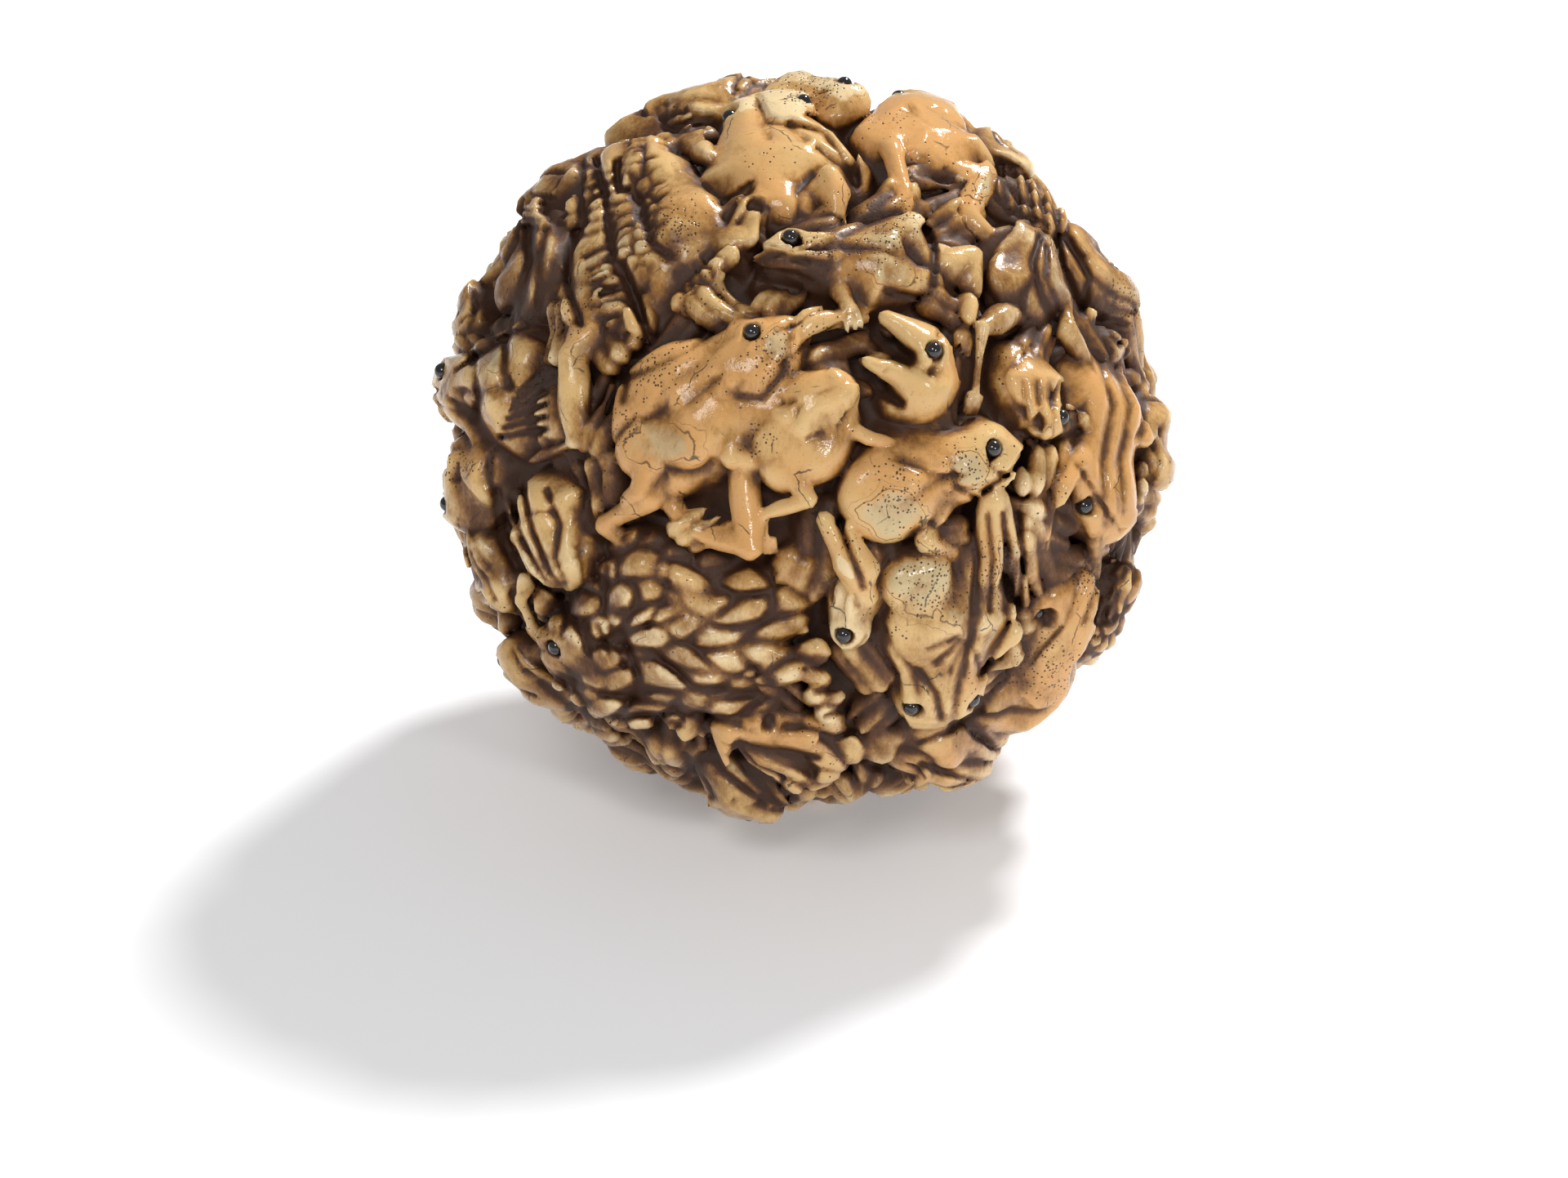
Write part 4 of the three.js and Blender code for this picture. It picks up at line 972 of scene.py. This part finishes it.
PORES = (
    (-2.0, 6.0, 2.6), (-10.5, 5.2, 2.2), (-12.6, 1.5, 1.6), (-9.6, 15.6, 3.0), (-16.5, 9.2, 2.2),
    (5.5, 15.2, 3.4), (1.5, 13.8, 2.0), (6.4, -3.2, 2.8), (11.4, -1.4, 2.2), (9.0, -9.5, 3.2),
    (13.6, -8.8, 2.6), (17.6, -15.6, 3.0), (0.5, 26.5, 3.0), (20.5, -9.6, 2.0), (23.8, 10.6, 2.4),
    (-24.4, -1.4, 1.6), (-3.0, 0.5, 1.4), (12.6, 18.2, 1.4),
)
right, up, ahead = co @ RIGHT_WAY, co @ TOP_WAY, co @ FRONT_WAY
marks = np.full(len(co), -1.0)
pores = np.clip(0.25 * ripple(co, 7.0, 21) - 0.1, 0, 0.2)
for side, turn in ((1, 1), (-1, -1)):
    shown = side * ahead > 2
    for x, y, wide, high in TIDE_MARKS:
        off = np.hypot((side * right - x) / wide, (turn * up - y) / high)
        marks = np.where(shown, np.maximum(marks, 1 - off), marks)
    for x, y, reach in PORES:
        off = np.hypot(side * right - x, turn * up - y) / reach
        pores = np.where(shown, np.maximum(pores, 1 - ramp(off, 0.3, 1.1)), pores)
marks += 0.22 * ripple(co, 2.4, 11) + 0.10 * ripple(co, 1.1, 12)
marks = np.where(stain_and_shade > 0.25, -1, marks)
set_attribute("marks", marks)
set_attribute("pores", pores)

# Ivory: cream where it is polished, orange on the flanks, with a dark brown stain in the hollows that also
# paints their shade, dark pores in clusters, and hairline cracks.
ivory = bpy.data.materials.new("stained_and_shaded_ivory")
ivory.use_nodes = True
tree = ivory.node_tree
tree.nodes.clear()


def node(kind, inputs=(), **settings):
    made = tree.nodes.new(kind)
    for name, value in settings.items():
        setattr(made, name, value)
    for socket, value in dict(inputs).items():
        if isinstance(value, bpy.types.NodeSocket):
            tree.links.new(value, made.inputs[socket])
        else:
            made.inputs[socket].default_value = value
    return made


def attribute(name):
    return node("ShaderNodeAttribute", attribute_name=name).outputs["Fac"]


def calculate(operation, a, b=0.0, clamp=False):
    return node("ShaderNodeMath", {0: a, 1: b}, operation=operation, use_clamp=clamp).outputs[0]


def fade(value, low, high):
    return node("ShaderNodeMapRange", {"Value": value, "From Min": low, "From Max": high},
                interpolation_type="SMOOTHSTEP").outputs["Result"]


def tint(share, a, b):
    made = node("ShaderNodeMix", {0: share}, data_type="RGBA")
    for socket, value in ((6, a), (7, b)):
        if isinstance(value, bpy.types.NodeSocket):
            tree.links.new(value, made.inputs[socket])
        else:
            made.inputs[socket].default_value = (*value, 1)
    return made.outputs[2]


def noise(scale, detail=3.0, rough=0.55, where=None):
    return node("ShaderNodeTexNoise", {"Vector": where or coordinates, "Scale": scale, "Detail": detail,
                                       "Roughness": rough}).outputs["Fac"]


coordinates = node("ShaderNodeTexCoord").outputs["Object"]
PALE = (0.80, 0.61, 0.345)
CREAM = (0.70, 0.46, 0.195)
ORANGE = (0.66, 0.35, 0.125)
# The stain's colours, from ochre to near black, paint the shade of the hollows as well as the stain.
OCHRE = (0.30, 0.136, 0.029)
BROWN = (0.125, 0.048, 0.012)
DARK = (0.040, 0.014, 0.005)
GREY = (0.50, 0.45, 0.28)
LINE = (0.035, 0.028, 0.022)
warm = calculate("ADD", attribute("warmth"), calculate("MULTIPLY", noise(230, 2), 0.5))
base = tint(fade(warm, 0.0, 0.45), PALE, CREAM)
base = tint(fade(warm, 0.45, 1.15), base, ORANGE)

marked = calculate("ADD", attribute("marks"), calculate("MULTIPLY", noise(1900, 3), 0.16))
base = tint(calculate("MULTIPLY", fade(marked, 0.07, 0.5), 0.55), base, GREY)
edge = fade(calculate("ABSOLUTE", calculate("SUBTRACT", marked, 0.08)), 0.05, 0.0)
outer = fade(calculate("ABSOLUTE", calculate("ADD", marked, 0.16)), 0.022, 0.0)
edge = calculate("ADD", edge, calculate("MULTIPLY", outer, 0.6), clamp=True)
base = tint(calculate("MULTIPLY", edge, 0.8), base, LINE)

streaks = node("ShaderNodeMapping", {"Vector": coordinates, "Scale": (1.0, 1.0, 0.5)}).outputs["Vector"]
fuzz = calculate("SUBTRACT", noise(2600, 5, 0.72, streaks), 0.5)
broad = calculate("SUBTRACT", noise(420, 3, 0.6), 0.5)
stain_and_shade_level = calculate("ADD", attribute("stain_and_shade"), calculate("MULTIPLY", fuzz, 0.9))
stain_and_shade_level = calculate("ADD", stain_and_shade_level, calculate("MULTIPLY", broad, 0.8))
# Ochre, brown and near black by the stain: the brown stain and the painted shade of hollows and grooves.
base = tint(calculate("MULTIPLY", fade(stain_and_shade_level, -0.75, 0.1), 0.94), base, OCHRE)
base = tint(fade(stain_and_shade_level, -0.15, 0.38), base, BROWN)
base = tint(calculate("MULTIPLY", fade(stain_and_shade_level, 0.2, 0.8), 0.9), base, DARK)
base = tint(calculate("MULTIPLY", fade(noise(5200, 2, 0.6), 0.6, 0.75), 0.3), base, BROWN)

pits = node("ShaderNodeTexVoronoi", {"Vector": coordinates, "Scale": 4000.0})
chosen = node("ShaderNodeSeparateColor", {"Color": pits.outputs["Color"]}).outputs[0]
picked = calculate("LESS_THAN", chosen, calculate("MULTIPLY", attribute("pores"), 0.78))
dots = calculate("MULTIPLY", fade(pits.outputs["Distance"], 0.42, 0.24), picked)
base = tint(calculate("MULTIPLY", dots, 0.9), base, DARK)

BEND = (0.0016, 0.0016, 0.0016)
swirl = node("ShaderNodeTexNoise", {"Vector": coordinates, "Scale": 500.0, "Detail": 3.0}).outputs["Color"]
swirl = node("ShaderNodeVectorMath", {0: swirl, 1: BEND}, operation="MULTIPLY").outputs[0]
bent = node("ShaderNodeVectorMath", {0: coordinates, 1: swirl}, operation="ADD").outputs[0]
seams = node("ShaderNodeTexVoronoi", {"Vector": bent, "Scale": 190.0}, feature="DISTANCE_TO_EDGE")
hairline = calculate("MULTIPLY", fade(seams.outputs["Distance"], 0.013, 0.004),
                     fade(noise(330, 2), 0.56, 0.64))
base = tint(calculate("MULTIPLY", hairline, 0.8), base, LINE)

grain = calculate("ADD", noise(900, 4, 0.6), calculate("MULTIPLY", dots, -0.5))
bump = node("ShaderNodeBump", {"Height": grain, "Strength": 0.45, "Distance": 0.00018})
polish = calculate("ADD", calculate("MULTIPLY", fade(stain_and_shade_level, -0.3, 0.5), 0.46), 0.15)
shader = node("ShaderNodeBsdfPrincipled", {
    "Base Color": base, "Roughness": polish, "IOR": 1.53, "Specular IOR Level": 0.38,
    "Normal": bump.outputs["Normal"]})
node("ShaderNodeOutputMaterial", {"Surface": shader.outputs["BSDF"]})
light_mesh.materials.clear()
light_mesh.materials.append(ivory)
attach(ball, "root")
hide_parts("carved_ball")

# The eyes: beads of polished black horn, each let into its own socket.
horn = bpy.data.materials.new("black_horn")
horn.use_nodes = True
horn_shader = horn.node_tree.nodes["Principled BSDF"]
horn_shader.inputs["Base Color"].default_value = (0.012, 0.010, 0.010, 1)
horn_shader.inputs["Roughness"].default_value = 0.12
horn_shader.inputs["Coat Weight"].default_value = 0.6
for c in CREATURES:
    spine = Spine(c)
    for which in c["eyes"]:
        name = f"{c['name']}_eye_{which}"
        if name in LOST_EYES:
            continue
        centre = (eye_place(c, spine, which) + (0, 0, MIDDLE_HEIGHT)) * 0.001
        bpy.ops.mesh.primitive_uv_sphere_add(segments=24, ring_count=14, radius=EYE_RADIUS * 0.001,
                                             location=centre)
        bead = bpy.context.object
        bead.name = "bead_" + name
        bead.data.shade_smooth()
        bead.data.materials.append(horn)
        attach(bead, "root")
        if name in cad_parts:
            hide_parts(name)

# The floor, the soft studio light and the camera, at the photograph's viewing angle.
bpy.ops.mesh.primitive_plane_add(size=6, location=(0, 0, 0))
floor = bpy.context.object
floor.name = "floor"
paper = bpy.data.materials.new("white_paper")
paper.use_nodes = True
paper_shader = paper.node_tree.nodes["Principled BSDF"]
paper_shader.inputs["Base Color"].default_value = (0.9, 0.9, 0.91, 1)
paper_shader.inputs["Emission Color"].default_value = (0.95, 0.97, 1, 1)
paper_shader.inputs["Emission Strength"].default_value = 0.2
paper_shader.inputs["Roughness"].default_value = 0.9
paper_shader.inputs["Specular IOR Level"].default_value = 0.1
floor.data.materials.append(paper)

world = bpy.data.worlds.new("studio")
bpy.context.scene.world = world
world.use_nodes = True
world.node_tree.nodes["Background"].inputs["Color"].default_value = (1, 1, 1, 1)
world.node_tree.nodes["Background"].inputs["Strength"].default_value = 0.30


def soft_light(name, place, aim, size, power):
    lamp = bpy.data.lights.new(name, "AREA")
    lamp.shape = "DISK"
    lamp.size = size
    lamp.energy = power
    holder = bpy.data.objects.new(name, lamp)
    bpy.context.scene.collection.objects.link(holder)
    holder.location = place
    way = np.array(aim) - np.array(place)
    holder.rotation_euler = Vector(way).to_track_quat("-Z", "Y").to_euler()


soft_light("key", (0.22, 0.26, 0.45), (0, 0, 0.03), 0.10, 2.9)
soft_light("fill", (-0.15, -0.5, 0.5), (0, 0, 0.03), 0.25, 1.3)
soft_light("front", (0.3, -0.5, 0.25), (0, 0, 0.03), 0.08, 0.8)

CAMERA_DISTANCE = 0.45
SENSOR = 36.0
IMAGE_WIDE, IMAGE_HIGH = 1920, 1442
PIXELS_PER_MILLIMETRE = 16.7
FRAME_WIDTH = IMAGE_WIDE / PIXELS_PER_MILLIMETRE * 0.001
BALL_PIXEL = (982, 548)
lens = bpy.data.cameras.new("camera")
lens.sensor_width = SENSOR
lens.lens = SENSOR * CAMERA_DISTANCE / FRAME_WIDTH
lens.clip_start = 0.01
camera = bpy.data.objects.new("camera", lens)
bpy.context.scene.collection.objects.link(camera)
camera.location = FRONT_WAY * CAMERA_DISTANCE + (0, 0, MIDDLE_HEIGHT * 0.001)
camera.rotation_euler = (math.pi / 2 - FRONT_TILT, 0, 0)
lens.shift_x = (IMAGE_WIDE / 2 - BALL_PIXEL[0]) / IMAGE_WIDE
lens.shift_y = (BALL_PIXEL[1] - IMAGE_HIGH / 2) / IMAGE_WIDE
bpy.context.scene.camera = camera
bpy.context.scene.view_settings.view_transform = "Standard"
